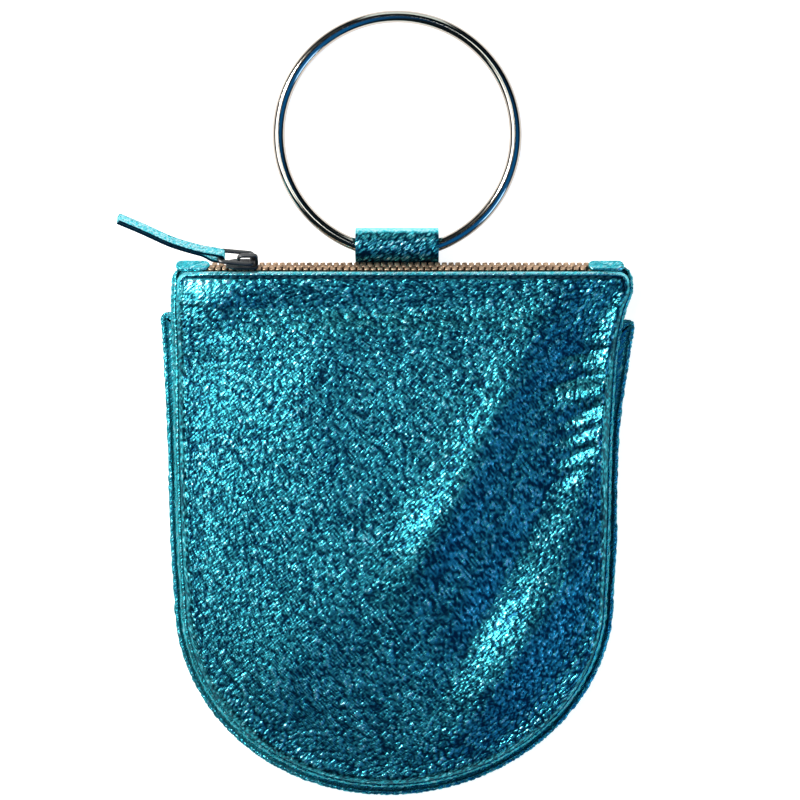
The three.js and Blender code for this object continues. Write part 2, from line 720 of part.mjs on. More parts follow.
const bag = new THREE.Group();
bag.add(named("front_panel", frontPanel(), teal));
bag.add(named("back_panel", backPanel(), teal));
bag.add(named("back_pocket", pocketPanel(), teal));
bag.add(named("zip_tape", tape(), { color: 0x3d3a2c, roughness: 0.9, metalness: 0 }));
bag.add(named("ring_tab", ringTab(), teal));
bag.add(named("ring_handle", ringHandle(), gunmetal));

const zip = new THREE.Group();
zip.position.set(0, ZIP_Y, ZIP_HEIGHT);
zip.rotation.x = -lean;
zip.add(named("zip_teeth", teeth(), { color: 0x8a5a3a, roughness: 0.35, metalness: 1 }));
const tabLeft = endTab(
  TEETH_LEFT,
  TEETH_LEFT - END_TAB_LENGTH_LEFT,
  TEETH_LEFT - TAPE_BEYOND_TEETH - RUNNING_GAP,
);
const tabRight = endTab(
  TEETH_RIGHT,
  TEETH_RIGHT + END_TAB_LENGTH_RIGHT,
  TEETH_RIGHT + TAPE_BEYOND_TEETH + RUNNING_GAP,
);
zip.add(named("zip_end_tab_left", tabLeft, teal));
zip.add(named("zip_end_tab_right", tabRight, teal));
zip.add(named("zip_slider", slider(), gunmetal));
const pull = new THREE.Group();
pull.position.set(HINGE_X, 0, HINGE_OUT);
pull.rotation.y = THREE.MathUtils.degToRad(LINK_RISE);
pull.add(named("pull_link", pullLink(), gunmetal));
pull.add(named("pull_thong", pullThong(), teal));
zip.add(pull);
bag.add(zip);

export default bag;
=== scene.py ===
"""A ring handle bag: a flat pouch of metallic teal leather, closed by a zip, hung from a steel ring.

It lies on its back on a pale floor. Lengths are in millimetres until a mesh or a light is made, in
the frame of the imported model: X runs along the zip, Y up towards the ring, Z off the floor.
"""

import math

import bpy
import numpy as np
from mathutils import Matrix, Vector
from mathutils.kdtree import KDTree


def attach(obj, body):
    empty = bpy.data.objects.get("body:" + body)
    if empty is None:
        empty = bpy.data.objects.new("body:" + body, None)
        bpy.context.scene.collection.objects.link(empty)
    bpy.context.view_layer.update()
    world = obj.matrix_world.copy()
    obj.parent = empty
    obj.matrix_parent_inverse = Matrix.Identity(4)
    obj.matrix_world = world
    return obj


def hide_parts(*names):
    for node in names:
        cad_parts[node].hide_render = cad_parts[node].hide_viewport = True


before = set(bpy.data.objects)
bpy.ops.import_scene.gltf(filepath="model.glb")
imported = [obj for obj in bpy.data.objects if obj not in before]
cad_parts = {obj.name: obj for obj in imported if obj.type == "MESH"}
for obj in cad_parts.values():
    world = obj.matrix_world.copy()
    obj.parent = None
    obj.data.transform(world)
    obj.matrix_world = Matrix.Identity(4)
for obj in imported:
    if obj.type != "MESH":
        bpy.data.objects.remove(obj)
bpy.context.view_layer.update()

MM = 0.001


# Camera, floor and studio light
# The bag is seen from straight above. The floor is matt and nearly white. The main light is a soft
# box at the upper left, with weaker ones round it and a dim sky that is blue on the right.
# PHOTO_PIXEL is what one pixel of the photo measures at FACE_HEIGHT above the floor.
PHOTO_PIXEL = 0.4
PHOTO_SIDE = 800
ORIGIN_PIXEL_X = 397
ORIGIN_PIXEL_Y = 530
CAMERA_HEIGHT = 1508
FACE_HEIGHT = 8
SENSOR = 36

camera_data = bpy.data.cameras.new("studio_camera")
camera_data.sensor_width = SENSOR
camera_data.lens = SENSOR * (CAMERA_HEIGHT - FACE_HEIGHT) / (PHOTO_PIXEL * PHOTO_SIDE)
camera = bpy.data.objects.new("studio_camera", camera_data)
camera.location = (
    (PHOTO_SIDE / 2 - ORIGIN_PIXEL_X) * PHOTO_PIXEL * MM,
    (ORIGIN_PIXEL_Y - PHOTO_SIDE / 2) * PHOTO_PIXEL * MM,
    CAMERA_HEIGHT * MM,
)
bpy.context.collection.objects.link(camera)
bpy.context.scene.camera = camera
bpy.context.scene.view_settings.view_transform = "Standard"

SOFT_BOXES = [
    {"name": "key_box", "at": (-600, 560, 760), "size": 170, "power": 19.0, "tint": (1.0, 1.0, 0.96)},
    {"name": "wide_box", "at": (-520, 240, 620), "size": 520, "power": 4.2, "tint": (0.95, 0.98, 1.0)},
    {"name": "low_box", "at": (850, -350, 500), "size": 350, "power": 2.0, "tint": (0.35, 0.65, 1.0)},
    {"name": "top_box", "at": (-200, 260, 1500), "size": 200, "power": 0.8, "tint": (0.9, 1.0, 1.0)},
    {"name": "zip_box", "at": (60, 1100, 420), "size": 600, "power": 2.0, "tint": (0.85, 1.0, 1.0)},
]
for box in SOFT_BOXES:
    light_data = bpy.data.lights.new(box["name"], "AREA")
    light_data.size = box["size"] * MM
    light_data.energy = box["power"]
    light_data.color = box["tint"]
    light = bpy.data.objects.new(box["name"], light_data)
    light.location = Vector(box["at"]) * MM
    light.rotation_euler = (-Vector(box["at"])).to_track_quat("-Z", "Y").to_euler()
    bpy.context.collection.objects.link(light)


class Shade:
    """One output of a shader node. Sums and products of it with numbers or others add Math nodes."""

    def __init__(self, socket):
        self.socket = socket

    def node(self, kind, settings, sockets, output=0):
        """A new node beside this one: its settings first, then its socket values and links."""
        tree = self.socket.id_data
        made = tree.nodes.new(kind)
        for name, value in settings.items():
            setattr(made, name, value)
        for name, value in sockets.items():
            feed(made.inputs[name], value)
        return Shade(made.outputs[output])

    def math(self, operation, *values):
        return self.node("ShaderNodeMath", {"operation": operation}, dict(enumerate(values)))

    def __add__(self, other):
        return self.math("ADD", self, other)

    def __sub__(self, other):
        return self.math("SUBTRACT", self, other)

    def __mul__(self, other):
        return self.math("MULTIPLY", self, other)

    def __rsub__(self, other):
        return self.math("SUBTRACT", other, self)

    __radd__ = __add__
    __rmul__ = __mul__

    def clipped(self, low, high):
        """This value spread so that low becomes 0 and high becomes 1, and held between them."""
        sockets = {"Value": self, "From Min": low, "From Max": high}
        return self.node("ShaderNodeMapRange", {"interpolation_type": "SMOOTHSTEP"}, sockets)

    def between(self, first, second):
        """A colour from first where this is 0 to second where it is 1."""
        sockets = {0: self, 6: first, 7: second}
        return self.node("ShaderNodeMix", {"data_type": "RGBA"}, sockets, 2)

    def noise(self, size, detail=2.0):
        """Soft blotches of about that size in millimetres, from 0 to 1."""
        sockets = {"Vector": self, "Scale": 1 / (size * MM), "Detail": detail}
        return self.node("ShaderNodeTexNoise", {}, sockets)

    def cells(self, size, feature="F1"):
        """Cells of about that size in millimetres, by the distance from their middles or edges."""
        sockets = {"Vector": self, "Scale": 1 / (size * MM)}
        return self.node("ShaderNodeTexVoronoi", {"feature": feature}, sockets)

    def stretched(self, along, turn=0):
        """The same places drawn out along each axis by those factors, after a turn in degrees."""
        sockets = {"Vector": self, "Rotation": (0, 0, math.radians(turn)), "Scale": along}
        return self.node("ShaderNodeMapping", {"vector_type": "TEXTURE"}, sockets)


def feed(socket, value):
    """A socket takes a link from a Shade, or a plain value."""
    if isinstance(value, Shade):
        socket.id_data.links.new(value.socket, socket)
    elif isinstance(value, tuple) and len(value) == 3 and socket.type == "RGBA":
        socket.default_value = (*value, 1)
    else:
        socket.default_value = value


def finish_of(name):
    """A new material: itself, its surface node, and the places on the piece as a Shade."""
    material = bpy.data.materials.new(name)
    material.use_nodes = True
    tree = material.node_tree
    place = tree.nodes.new("ShaderNodeTexCoord")
    return material, tree.nodes["Principled BSDF"], Shade(place.outputs["Object"])


def bumped(surface, place, height, depth):
    """The surface takes small bumps of that depth in millimetres from a height of 0 to 1."""
    sockets = {"Height": height, "Distance": depth * MM, "Strength": 1.0}
    feed(surface.inputs["Normal"], place.node("ShaderNodeBump", {}, sockets))


BLUE_SIDE_WAY = (0.5, -0.3, 0.81)
SKY_DARK = (0.015, 0.03, 0.04)
SKY_BLUE = (0.015, 0.42, 1.3)

sky = bpy.data.worlds.new("studio_sky")
sky.use_nodes = True
sky_surface = sky.node_tree.nodes["Background"]
sky_way = Shade(sky.node_tree.nodes.new("ShaderNodeTexCoord").outputs["Generated"])
blue_side = sky_way.node(
    "ShaderNodeVectorMath", {"operation": "DOT_PRODUCT"}, {0: sky_way, 1: BLUE_SIDE_WAY}, 1
).clipped(0.72, 1.0)
feed(sky_surface.inputs["Color"], blue_side.between(SKY_DARK, SKY_BLUE))
sky_surface.inputs["Strength"].default_value = 0.5
bpy.context.scene.world = sky

floor_material, floor_surface, floor_place = finish_of("pale_floor")
floor_tone = floor_place.noise(90).between((0.5, 0.48, 0.46), (0.54, 0.52, 0.5))
feed(floor_surface.inputs["Base Color"], floor_tone)
floor_surface.inputs["Roughness"].default_value = 0.9
floor_surface.inputs["Specular IOR Level"].default_value = 0.1
floor_surface.inputs["Emission Color"].default_value = (1, 1, 1, 1)
floor_surface.inputs["Emission Strength"].default_value = 0.92
FLOOR_SIZE = 6000
FLOOR_LEVEL = -0.2
bpy.ops.mesh.primitive_plane_add(size=FLOOR_SIZE * MM, location=(0, 0, FLOOR_LEVEL * MM))
floor = bpy.context.object
floor.name = "floor"
floor.data.materials.append(floor_material)


# Front of the pouch
# One piece of pebbled metallic leather, turned in and stitched along the zip and sewn into the
# seam round the U. It bulges over the empty pouch, with a crease under the zip and soft folds.
LEATHER = 1.2
POUCH = {
    "half_width": 90, "top": 106.2, "top_drop": 0, "bottom": -103.4,
    "corner_left": 7, "corner_right": 6,
    "sides": [
        {"drop": 0.045, "left": 1.007, "right": 1.052},
        {"drop": 0.09, "left": 1.009, "right": 1.05},
        {"drop": 0.144, "left": 1.009, "right": 1.02},
        {"drop": 0.27, "left": 1.002, "right": 0.987},
        {"drop": 0.52, "left": 0.996, "right": 0.962},
        {"drop": 0.82, "left": 0.984, "right": 0.951},
        {"drop": 1, "left": 0.967, "right": 0.938},
    ],
}
ROUND_START = -28
ROUND_SHIFT = -2.6
FRONT_INSET = {"left": 2.4, "right": 1.6, "bottom": 1.5, "top": 2.8}
SEAM_HEIGHT = 5.9
SEAM_HEIGHT_AT_ZIP = 11.5
SHOULDER_HEIGHT = 11.2
SHOULDER_HEIGHT_AT_ZIP = 13
SHOULDER_WIDTH = 3.6
CREST_HEIGHT = 15.6
CREST_POWER = 2.4
CORNER_RUN = 12
ZIP_SIDE = {"seam_from": 14, "seam_to": 7, "shoulder_from": 61, "shoulder_to": 86}

# Folds: place, length, width and rise in millimetres, and turn in degrees from the zip. The first
# twelve are soft folds and swells, the next ten are creases and wrinkles, the last is a dent.
FOLDS = [
    {"x": 33, "y": 32, "length": 66, "width": 9, "turn": 65, "rise": 1.3},
    {"x": 41, "y": -24, "length": 45, "width": 8, "turn": 63, "rise": -1.7},
    {"x": 82, "y": 40, "length": 36, "width": 9, "turn": 76, "rise": 3.9},
    {"x": 53, "y": -44, "length": 45, "width": 9, "turn": 58, "rise": 1.6},
    {"x": -35, "y": 56, "length": 36, "width": 14, "turn": 80, "rise": 0.8},
    {"x": -27, "y": 88, "length": 68, "width": 6.3, "turn": 0, "rise": -2.1},
    {"x": -70, "y": 10, "length": 75, "width": 15, "turn": 88, "rise": 0.7},
    {"x": 78, "y": 82, "length": 30, "width": 11, "turn": 50, "rise": -2.2},
    {"x": 15, "y": -1, "length": 24, "width": 11, "turn": 52, "rise": 2.0},
    {"x": 26, "y": -72, "length": 42, "width": 15, "turn": 48, "rise": 1.8},
    {"x": -48, "y": -56, "length": 40, "width": 17, "turn": 50, "rise": 1.1},
    {"x": -74, "y": 91, "length": 15, "width": 7.5, "turn": 8, "rise": 1.7},
    {"x": -62, "y": 80, "length": 26, "width": 3.5, "turn": 4, "rise": -0.7},
    {"x": -42, "y": 88.4, "length": 45, "width": 0.9, "turn": -1, "rise": -0.35},
    {"x": 2, "y": 88.8, "length": 14, "width": 0.8, "turn": 3, "rise": -0.25},
    {"x": 77, "y": 71, "length": 10, "width": 2, "turn": 8, "rise": -1.2},
    {"x": 76, "y": 61, "length": 11, "width": 2.4, "turn": 10, "rise": -1.5},
    {"x": 75, "y": 54, "length": 9, "width": 3, "turn": 20, "rise": 1.2},
    {"x": 75, "y": 47, "length": 11, "width": 2, "turn": 24, "rise": -1.2},
    {"x": 73, "y": 39, "length": 9, "width": 2, "turn": 18, "rise": -0.9},
    {"x": 73, "y": 31, "length": 10, "width": 2, "turn": 22, "rise": -0.9},
    {"x": 69, "y": 22, "length": 8, "width": 2, "turn": 28, "rise": -0.7},
    {"x": 38, "y": -32, "length": 13, "width": 7, "turn": 50, "rise": -1.0},
]

# Grain: size of a pebble in millimetres, turn in degrees from the zip, how far it is drawn out.
LARGE_GRAIN = {"size": 2.2, "turn": 46, "stretch": 2.1}
SMALL_GRAIN = {"size": 1.3, "turn": 38, "stretch": 1.8}
LARGE_GRAIN_SHARE = 0.55


def mix(first, second, share):
    return first + (second - first) * share


def smooth(start, end, value):
    share = np.clip((value - start) / (end - start), 0, 1)
    return share * share * (3 - 2 * share)


def bell(value, middle, width):
    return np.exp(-(((value - middle) / width) ** 2))


def spline(points, steps):
    """A smooth line of that many points through the given ones."""
    points = np.asarray(points, float)
    place = np.linspace(0, len(points) - 1, steps)
    i = np.clip(place.astype(int), 0, len(points) - 2)
    w = (place - i)[:, None]
    first, second = points[i], points[i + 1]
    leave = (second - points[np.maximum(i - 1, 0)]) / 2
    arrive = (points[np.minimum(i + 2, len(points) - 1)] - first) / 2
    bend = 2 * (first - second) + leave + arrive
    turn = 3 * (second - first) - 2 * leave - arrive
    return bend * w**3 + turn * w**2 + leave * w + first


def arc(x, y, radius, start, end, steps):
    turn = np.radians(np.linspace(start, end, steps))
    return np.stack([x + radius * np.cos(turn), y + radius * np.sin(turn)], axis=1)


def u_sides(panel, inset):
    """The U outline inside the panel's edge as four lines: top, right, bottom and left."""
    top = panel["top"] - inset["top"]
    bottom = panel["bottom"] + inset["bottom"]
    first = panel["sides"][0]
    edge = {
        "left": lambda row: -(panel["half_width"] * row["left"] - inset["left"]),
        "right": lambda row: panel["half_width"] * row["right"] - inset["right"],
    }
    corner = {
        side: max(panel["corner_" + side] - inset[side], LEATHER / 2) for side in ("left", "right")
    }
    line = {}
    for side in ("left", "right"):
        points = [(edge[side](first), top - corner[side])]
        for row in panel["sides"]:
            height = mix(panel["top"], ROUND_START, row["drop"])
            if height < panel["top"] - 2 * corner[side]:
                points.append((edge[side](row), height))
        line[side] = spline(points, 200)
    left_x, right_x = edge["left"](first), edge["right"](first)
    left_arc = arc(left_x + corner["left"], top - corner["left"], corner["left"], 180, 90, 21)
    right_arc = arc(right_x - corner["right"], top - corner["right"], corner["right"], 90, 0, 21)
    turn = np.linspace(0, np.pi, 361)
    low_left, low_right = line["left"][-1, 0], line["right"][-1, 0]
    middle = (low_left + low_right) / 2 + ROUND_SHIFT * np.sin(turn) ** 2
    round_x = middle + (low_right - low_left) / 2 * np.cos(turn)
    round_y = ROUND_START - (ROUND_START - bottom) * np.sin(turn)
    bowl = np.stack([round_x, round_y], axis=1)
    sides = [
        np.concatenate([left_arc[10:], right_arc[:11]]),
        np.concatenate([right_arc[10:], line["right"][1:], bowl[1:101]]),
        bowl[100:261],
        np.concatenate([bowl[260:], line["left"][::-1][1:], left_arc[1:11]]),
    ]
    for side in sides:
        across = (side[:, 0] + panel["half_width"]) / (2 * panel["half_width"])
        side[:, 1] -= panel["top_drop"] * across * smooth(ROUND_START, panel["top"], side[:, 1])
    return sides


def spaced(line, shares):
    """Points along a line at those shares of its length."""
    steps = np.hypot(*np.diff(line, axis=0).T)
    run = np.concatenate([[0], np.cumsum(steps)])
    return np.stack([np.interp(shares * run[-1], run, line[:, k]) for k in (0, 1)], axis=1)


def crowded(count, amount):
    """Shares from 0 to 1 that lie closer together near both ends."""
    share = np.linspace(0, 1, count)
    return share - amount * np.sin(2 * np.pi * share) / (2 * np.pi)


def u_loop(panel, inset, columns, rows):
    """The points of the U outline in one turn, matched to a grid of those columns and rows."""
    shares = [crowded(columns, 0.5), crowded(rows, 0.5)]
    sides = u_sides(panel, inset)
    return np.concatenate([spaced(line, shares[i % 2])[:-1] for i, line in enumerate(sides)])


def u_grid(panel, inset, columns, rows):
    """A grid of points that fills the U outline, from its top row down."""
    across, down = crowded(columns, 0.5), crowded(rows, 0.5)
    top, right, bottom, left = [
        spaced(line, across if i % 2 == 0 else down)
        for i, line in enumerate(u_sides(panel, inset))
    ]
    bottom, left = bottom[::-1], left[::-1]
    u, v = across[None, :, None], down[:, None, None]
    ruled = (1 - v) * top + v * bottom + (1 - u) * left[:, None] + u * right[:, None]
    corners = (1 - u) * ((1 - v) * top[0] + v * bottom[0]) + u * ((1 - v) * top[-1] + v * bottom[-1])
    return ruled - corners


def evenly(inset):
    return dict.fromkeys(("left", "right", "bottom", "top"), inset)


def plus(first, second):
    return {side: first[side] + second[side] for side in first}


rng = np.random.default_rng(11)
PEBBLE_TABLE = rng.random((128, 128, 3))


def pebbles(x, y, size=2.7, turn=48, stretch=1.3):
    """The grain of the leather at those places: 0 in the grooves, up to 1 on the pebbles."""
    angle = math.radians(turn)
    u = (x * math.cos(angle) + y * math.sin(angle)) / (size * stretch)
    v = (y * math.cos(angle) - x * math.sin(angle)) / (size / math.sqrt(stretch))
    cell_u, cell_v = np.floor(u).astype(int), np.floor(v).astype(int)
    nearest = np.full(u.shape, 9.0)
    second = np.full(u.shape, 9.0)
    tone = np.zeros(u.shape)
    for step_u in (-1, 0, 1):
        for step_v in (-1, 0, 1):
            i, j = cell_u + step_u, cell_v + step_v
            jitter = PEBBLE_TABLE[i % 128, j % 128]
            away = np.hypot(i + jitter[..., 0] - u, j + jitter[..., 1] - v)
            closer = away < nearest
            second = np.where(closer, nearest, np.minimum(second, away))
            tone = np.where(closer, jitter[..., 2], tone)
            nearest = np.where(closer, away, nearest)
    dome = smooth(0, 0.5, second - nearest)
    return dome * (0.6 + 0.4 * tone)


def crushed_grain(x, y):
    """Large and small pebbles together, in rows that wander a little over the panel."""
    drift = np.sin(x / 7.3 + 2.1 * np.sin(y / 9.7)) * 0.5
    drift += np.sin(y / 6.1 + 1.7 * np.sin(x / 8.9)) * 0.5
    bent_x, bent_y = x + 0.8 * drift, y + 0.6 * np.sin(x / 4.3 - y / 5.9)
    large = pebbles(bent_x, bent_y, **LARGE_GRAIN)
    small = pebbles(bent_x + 31, bent_y - 17, **SMALL_GRAIN)
    return mix(small, large, LARGE_GRAIN_SHARE)


def nearest_edge(points, line):
    """How far inside a closed line each point lies, and the nearest of the line's points."""
    tree = KDTree(len(line))
    for i, (x, y) in enumerate(line):
        tree.insert((x, y, 0), i)
    tree.balance()
    index = np.array([tree.find((x, y, 0))[1] for x, y in points])
    along = np.roll(line, -1, axis=0) - np.roll(line, 1, axis=0)
    along /= np.linalg.norm(along, axis=1)[:, None]
    inward = np.stack([along[:, 1], -along[:, 0]], axis=1)
    return np.maximum(((points - line[index]) * inward[index]).sum(1), 0), index


def fold_rise(x, y):
    total = np.zeros(x.shape)
    for fold in FOLDS:
        turn = math.radians(fold["turn"])
        dx, dy = x - fold["x"], y - fold["y"]
        along = (dx * math.cos(turn) + dy * math.sin(turn)) / fold["length"]
        across = (dy * math.cos(turn) - dx * math.sin(turn)) / fold["width"]
        total += fold["rise"] * bell(along, 0, 1) * bell(across, 0, 1)
    return total


DENSE = 900
FRONT_EDGE = u_loop(POUCH, FRONT_INSET, DENSE, DENSE)
DOME_EDGE = u_loop(POUCH, plus(FRONT_INSET, evenly(2 * SHOULDER_WIDTH)), DENSE, DENSE)
DOME_ANGLE = np.arctan2(DOME_EDGE[:, 1], DOME_EDGE[:, 0])
DOME_ORDER = np.argsort(DOME_ANGLE)
STITCH_INSET = 2.4
STITCH_PITCH = 3.4
GROOVE_DEPTH = 1.0
GROOVE_WIDTH = 0.6
PUCKER_INSET = 3.9
PUCKER_WIDTH = 0.8
PUCKER_RISE = 0.16
GATHER_PITCH = 1.3
GATHER_RISE = 0.2
LINING_DROP = 1.4 * LEATHER


def front_height(points):
    """Heights of the front leather's face before its grain, and how far each is from the edge."""
    inset, index = nearest_edge(points, FRONT_EDGE)
    x, y = points.T
    angle = np.arctan2(y, x)
    reach = np.interp(
        angle, DOME_ANGLE[DOME_ORDER], np.hypot(*DOME_EDGE.T)[DOME_ORDER], period=2 * np.pi
    )
    share = np.minimum(np.hypot(x, y) / reach, 1)
    ends = FRONT_EDGE[:, 0].min(), FRONT_EDGE[:, 0].max()
    seam_start = POUCH["top"] - ZIP_SIDE["seam_from"]
    topness = smooth(seam_start, POUCH["top"] - ZIP_SIDE["seam_to"], FRONT_EDGE[index, 1])
    from_end = np.minimum(x - ends[0], ends[1] - x)
    seam = mix(SEAM_HEIGHT, SEAM_HEIGHT_AT_ZIP, topness * smooth(0, CORNER_RUN, from_end - 2))
    near_zip = smooth(ZIP_SIDE["shoulder_from"], ZIP_SIDE["shoulder_to"], y)
    shoulder = mix(SHOULDER_HEIGHT, SHOULDER_HEIGHT_AT_ZIP, near_zip)
    top = mix(shoulder, CREST_HEIGHT, 1 - share**CREST_POWER)
    rise = np.sqrt(1 - (1 - np.minimum(inset / SHOULDER_WIDTH, 1)) ** 2)
    run = np.cumsum(np.hypot(*(FRONT_EDGE - np.roll(FRONT_EDGE, 1, axis=0)).T))[index]
    gather = GATHER_RISE * np.sin(2 * np.pi * run / GATHER_PITCH + 2 * np.sin(run / 5.3))
    gather *= smooth(0, 1, inset) * (1 - smooth(2, 6, inset)) * (1 - topness)
    pucker = PUCKER_RISE * np.cos(2 * np.pi * x / STITCH_PITCH)
    pucker *= bell(inset, PUCKER_INSET, PUCKER_WIDTH)
    sewn = (pucker - GROOVE_DEPTH * bell(inset, STITCH_INSET, GROOVE_WIDTH)) * topness
    swell = fold_rise(x, y) * np.minimum(inset / SHOULDER_WIDTH, 1)
    return mix(seam, top, rise) + swell + gather + sewn, inset, seam


def shell(grid, rings, middle):
    """Points and faces of a closed shell: a grid, then rings from its border in to a middle point."""
    rows, columns = grid.shape[:2]
    index = np.arange(rows * columns).reshape(rows, columns)
    quads = [np.stack([index[:-1, :-1], index[:-1, 1:], index[1:, 1:], index[1:, :-1]], axis=-1)]
    border = np.concatenate([index[0, :-1], index[:-1, -1], index[-1, :0:-1], index[:0:-1, 0]])
    points = [grid.reshape(-1, 3), *rings, [middle]]
    start = rows * columns
    for ring in rings:
        new = start + np.arange(len(ring))
        quads.append(np.stack([np.roll(border, -1), border, new, np.roll(new, -1)], axis=-1))
        border = new
        start += len(ring)
    fan = np.stack([np.roll(border, -1), border, np.full(len(border), start)], axis=-1)
    faces = np.concatenate([part.reshape(-1, 4) for part in quads]).tolist() + fan.tolist()
    return np.concatenate(points), faces


def add_piece(name, points, faces, material, body, stands_for=(), relief=None):
    """A smooth mesh from millimetre points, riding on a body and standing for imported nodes."""
    mesh = bpy.data.meshes.new(name)
    mesh.from_pydata((np.asarray(points) * MM).tolist(), [], faces)
    volume = sum(p.center.dot(p.normal) * p.area for p in mesh.polygons)
    if volume < 0:
        mesh.flip_normals()
    mesh.polygons.foreach_set("use_smooth", [True] * len(mesh.polygons))
    if relief is not None:
        values = mesh.attributes.new("relief", "FLOAT", "POINT")
        values.data.foreach_set("value", np.asarray(relief, np.float32))
    mesh.materials.append(material)
    piece = bpy.data.objects.new(name, mesh)
    bpy.context.collection.objects.link(piece)
    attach(piece, body)
    if stands_for:
        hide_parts(*stands_for)
    return piece


# The groove colour is painted shade and the peak colour a painted highlight; the pebble colour is the
# leather's own.
TEAL_GROOVE_SHADE = (0.0003, 0.02, 0.045)
TEAL_PEBBLE = (0.045, 0.47, 0.55)
TEAL_PEAK_HIGHLIGHT = tuple(mix(each, 0.85, 0.4) for each in TEAL_PEBBLE)
GRAZING_TINT = (0.25, 0.8, 0.85, 1)
CRUMPLE_DEPTH = 0.3


def leather_finish(name):
    """Metallic teal leather, with painted shade in the grooves of its grain and painted highlights on
    its peaks.
    """
    material, surface, place = finish_of(name)
    relief = place.node("ShaderNodeAttribute", {"attribute_name": "relief"}, {}, 2)
    blotch = place.noise(14)
    drawn = place.stretched((2.6, 1, 1), 43)
    fine = drawn.cells(0.7, "SMOOTH_F1")
    crumple = drawn.noise(0.95, 2)
    # Colour follows the grain's height and the crumple: darker in the grooves as painted shade, paler on
    # the peaks as a painted highlight.
    tone = (relief * 1.1 + blotch * 0.3 + crumple * 0.4 - 0.45).clipped(0.05, 0.9)
    peak_highlight = (relief * 0.7 + crumple).clipped(0.9, 1.3)
    tint = peak_highlight.between(TEAL_PEBBLE, TEAL_PEAK_HIGHLIGHT)
    feed(surface.inputs["Base Color"], tone.between(TEAL_GROOVE_SHADE, tint))
    feed(surface.inputs["Roughness"], 0.28 - relief * 0.06 + crumple * 0.06)
    surface.inputs["Metallic"].default_value = 0.85
    surface.inputs["Specular Tint"].default_value = GRAZING_TINT
    surface.inputs["Coat Weight"].default_value = 0.05
    surface.inputs["Coat Roughness"].default_value = 0.2
    bumped(surface, place, crumple - fine * 0.5, CRUMPLE_DEPTH)
    return material


FRONT_COLUMNS = 285
FRONT_ROWS = 300
GRAIN_DEPTH = 0.52
TAUT_HIGHLIGHT_GRAIN = 0.85
LINING_INSETS = (LEATHER, 2.6)
LINING_SHARES = (0.92, 0.75, 0.5, 0.25)

flat = u_grid(POUCH, FRONT_INSET, FRONT_COLUMNS, FRONT_ROWS).reshape(-1, 2)
height, inset, seam = front_height(flat)
grain = crushed_grain(*flat.T)
# Along the folded edge by the zip and at the top-left corner the grain is held at one high level, as in
# taut leather; since colour follows the relief, these places are also painted paler, a painted
# highlight.
at_fold = smooth(POUCH["top"] - 9, POUCH["top"] - 6, flat[:, 1]) * (1 - smooth(1.6, 3.2, inset))
at_corner = bell(flat[:, 0], -80, 14) * bell(flat[:, 1], 100, 7)
taut_and_highlight = np.maximum(at_fold, 0.85 * at_corner)
# Where the stitch groove under the zip gets painted shade.
groove_shade = bell(inset, STITCH_INSET, 0.7) * smooth(96, 99, flat[:, 1])
grain = mix(grain, TAUT_HIGHLIGHT_GRAIN, taut_and_highlight)
height += GRAIN_DEPTH * (grain - 0.6) * smooth(0, 1, inset)
face = np.column_stack([flat, np.maximum(height, seam)]).reshape(FRONT_ROWS, FRONT_COLUMNS, 3)
lining = []
for step in LINING_INSETS:
    ring = u_loop(POUCH, plus(FRONT_INSET, evenly(step)), FRONT_COLUMNS, FRONT_ROWS)
    height, inset, seam = front_height(ring)
    lining.append(np.column_stack([ring, np.maximum(height - LINING_DROP, seam)]))
past_shoulder = plus(FRONT_INSET, evenly(2 * SHOULDER_WIDTH))
for share in LINING_SHARES:
    ring = u_loop(POUCH, past_shoulder, FRONT_COLUMNS, FRONT_ROWS) * share
    lining.append(np.column_stack([ring, front_height(ring)[0] - LINING_DROP]))
points, faces = shell(face, lining, (0, 0, CREST_HEIGHT - LINING_DROP))
# The relief is lowered along the stitch groove, so its colour there is painted shade.
relief_with_groove_shade = grain * (1 - 0.9 * groove_shade)
relief = np.concatenate([relief_with_groove_shade, np.full(len(points) - len(grain), 0.4)])
front_finish = leather_finish("front_leather")
add_piece(
    "front_leather", points, faces, front_finish, "bag", ["front_panel"], relief
)


# Back of the pouch
# A second panel of the same leather behind the front. It is rolled up round the U to meet the
# front in a seam, so a narrow strip of it shows beside the front from above.
BACK_LOW = 1.5
BACK_ROLL = {"left": 4.2, "right": 2.6, "bottom": 2.4, "top": 2.4}
BACK_ROLL_RISE = 2.2
ROLL_END = 60
EDGE_STEP = 0.9
BACK_COLUMNS = 190
BACK_ROWS = 200


def outward(loop):
    """The direction out of a clockwise loop at each of its points."""
    along = np.roll(loop, -1, axis=0) - np.roll(loop, 1, axis=0)
    along /= np.linalg.norm(along, axis=1)[:, None]
    return np.stack([-along[:, 1], along[:, 0]], axis=1)


back_edge = u_loop(POUCH, evenly(0), BACK_COLUMNS, BACK_ROWS)
away = outward(back_edge)
share_of = {
    "left": np.maximum(-away[:, 0], 0) ** 2, "right": np.maximum(away[:, 0], 0) ** 2,
    "bottom": np.maximum(-away[:, 1], 0) ** 2, "top": np.maximum(away[:, 1], 0) ** 2,
}
roll_reach = sum(share_of[side] * BACK_ROLL[side] for side in BACK_ROLL)
roll_rise = mix(BACK_ROLL_RISE, LEATHER, share_of["top"])


def rolled(turn_share, inward, grained):
    """One ring of the rolled edge, from flat under the pouch to its end against the seam."""
    turn = np.radians(mix(-90, mix(ROLL_END, 0, share_of["top"]), turn_share))
    run = np.arange(len(back_edge)) * EDGE_STEP
    lift = GRAIN_DEPTH * (pebbles(run, np.full(len(run), 9 * turn_share)) - 0.6) * grained
    inset = roll_reach - (roll_reach - inward + lift) * np.cos(turn)
    flat = back_edge - away * inset[:, None]
    return np.column_stack([flat, BACK_LOW + roll_rise + (roll_rise - inward + lift) * np.sin(turn)])


def flat_ring(panel, inset, share, z):
    ring = u_loop(panel, evenly(inset), BACK_COLUMNS, BACK_ROWS) * share
    return np.column_stack([ring, np.full(len(ring), z)])


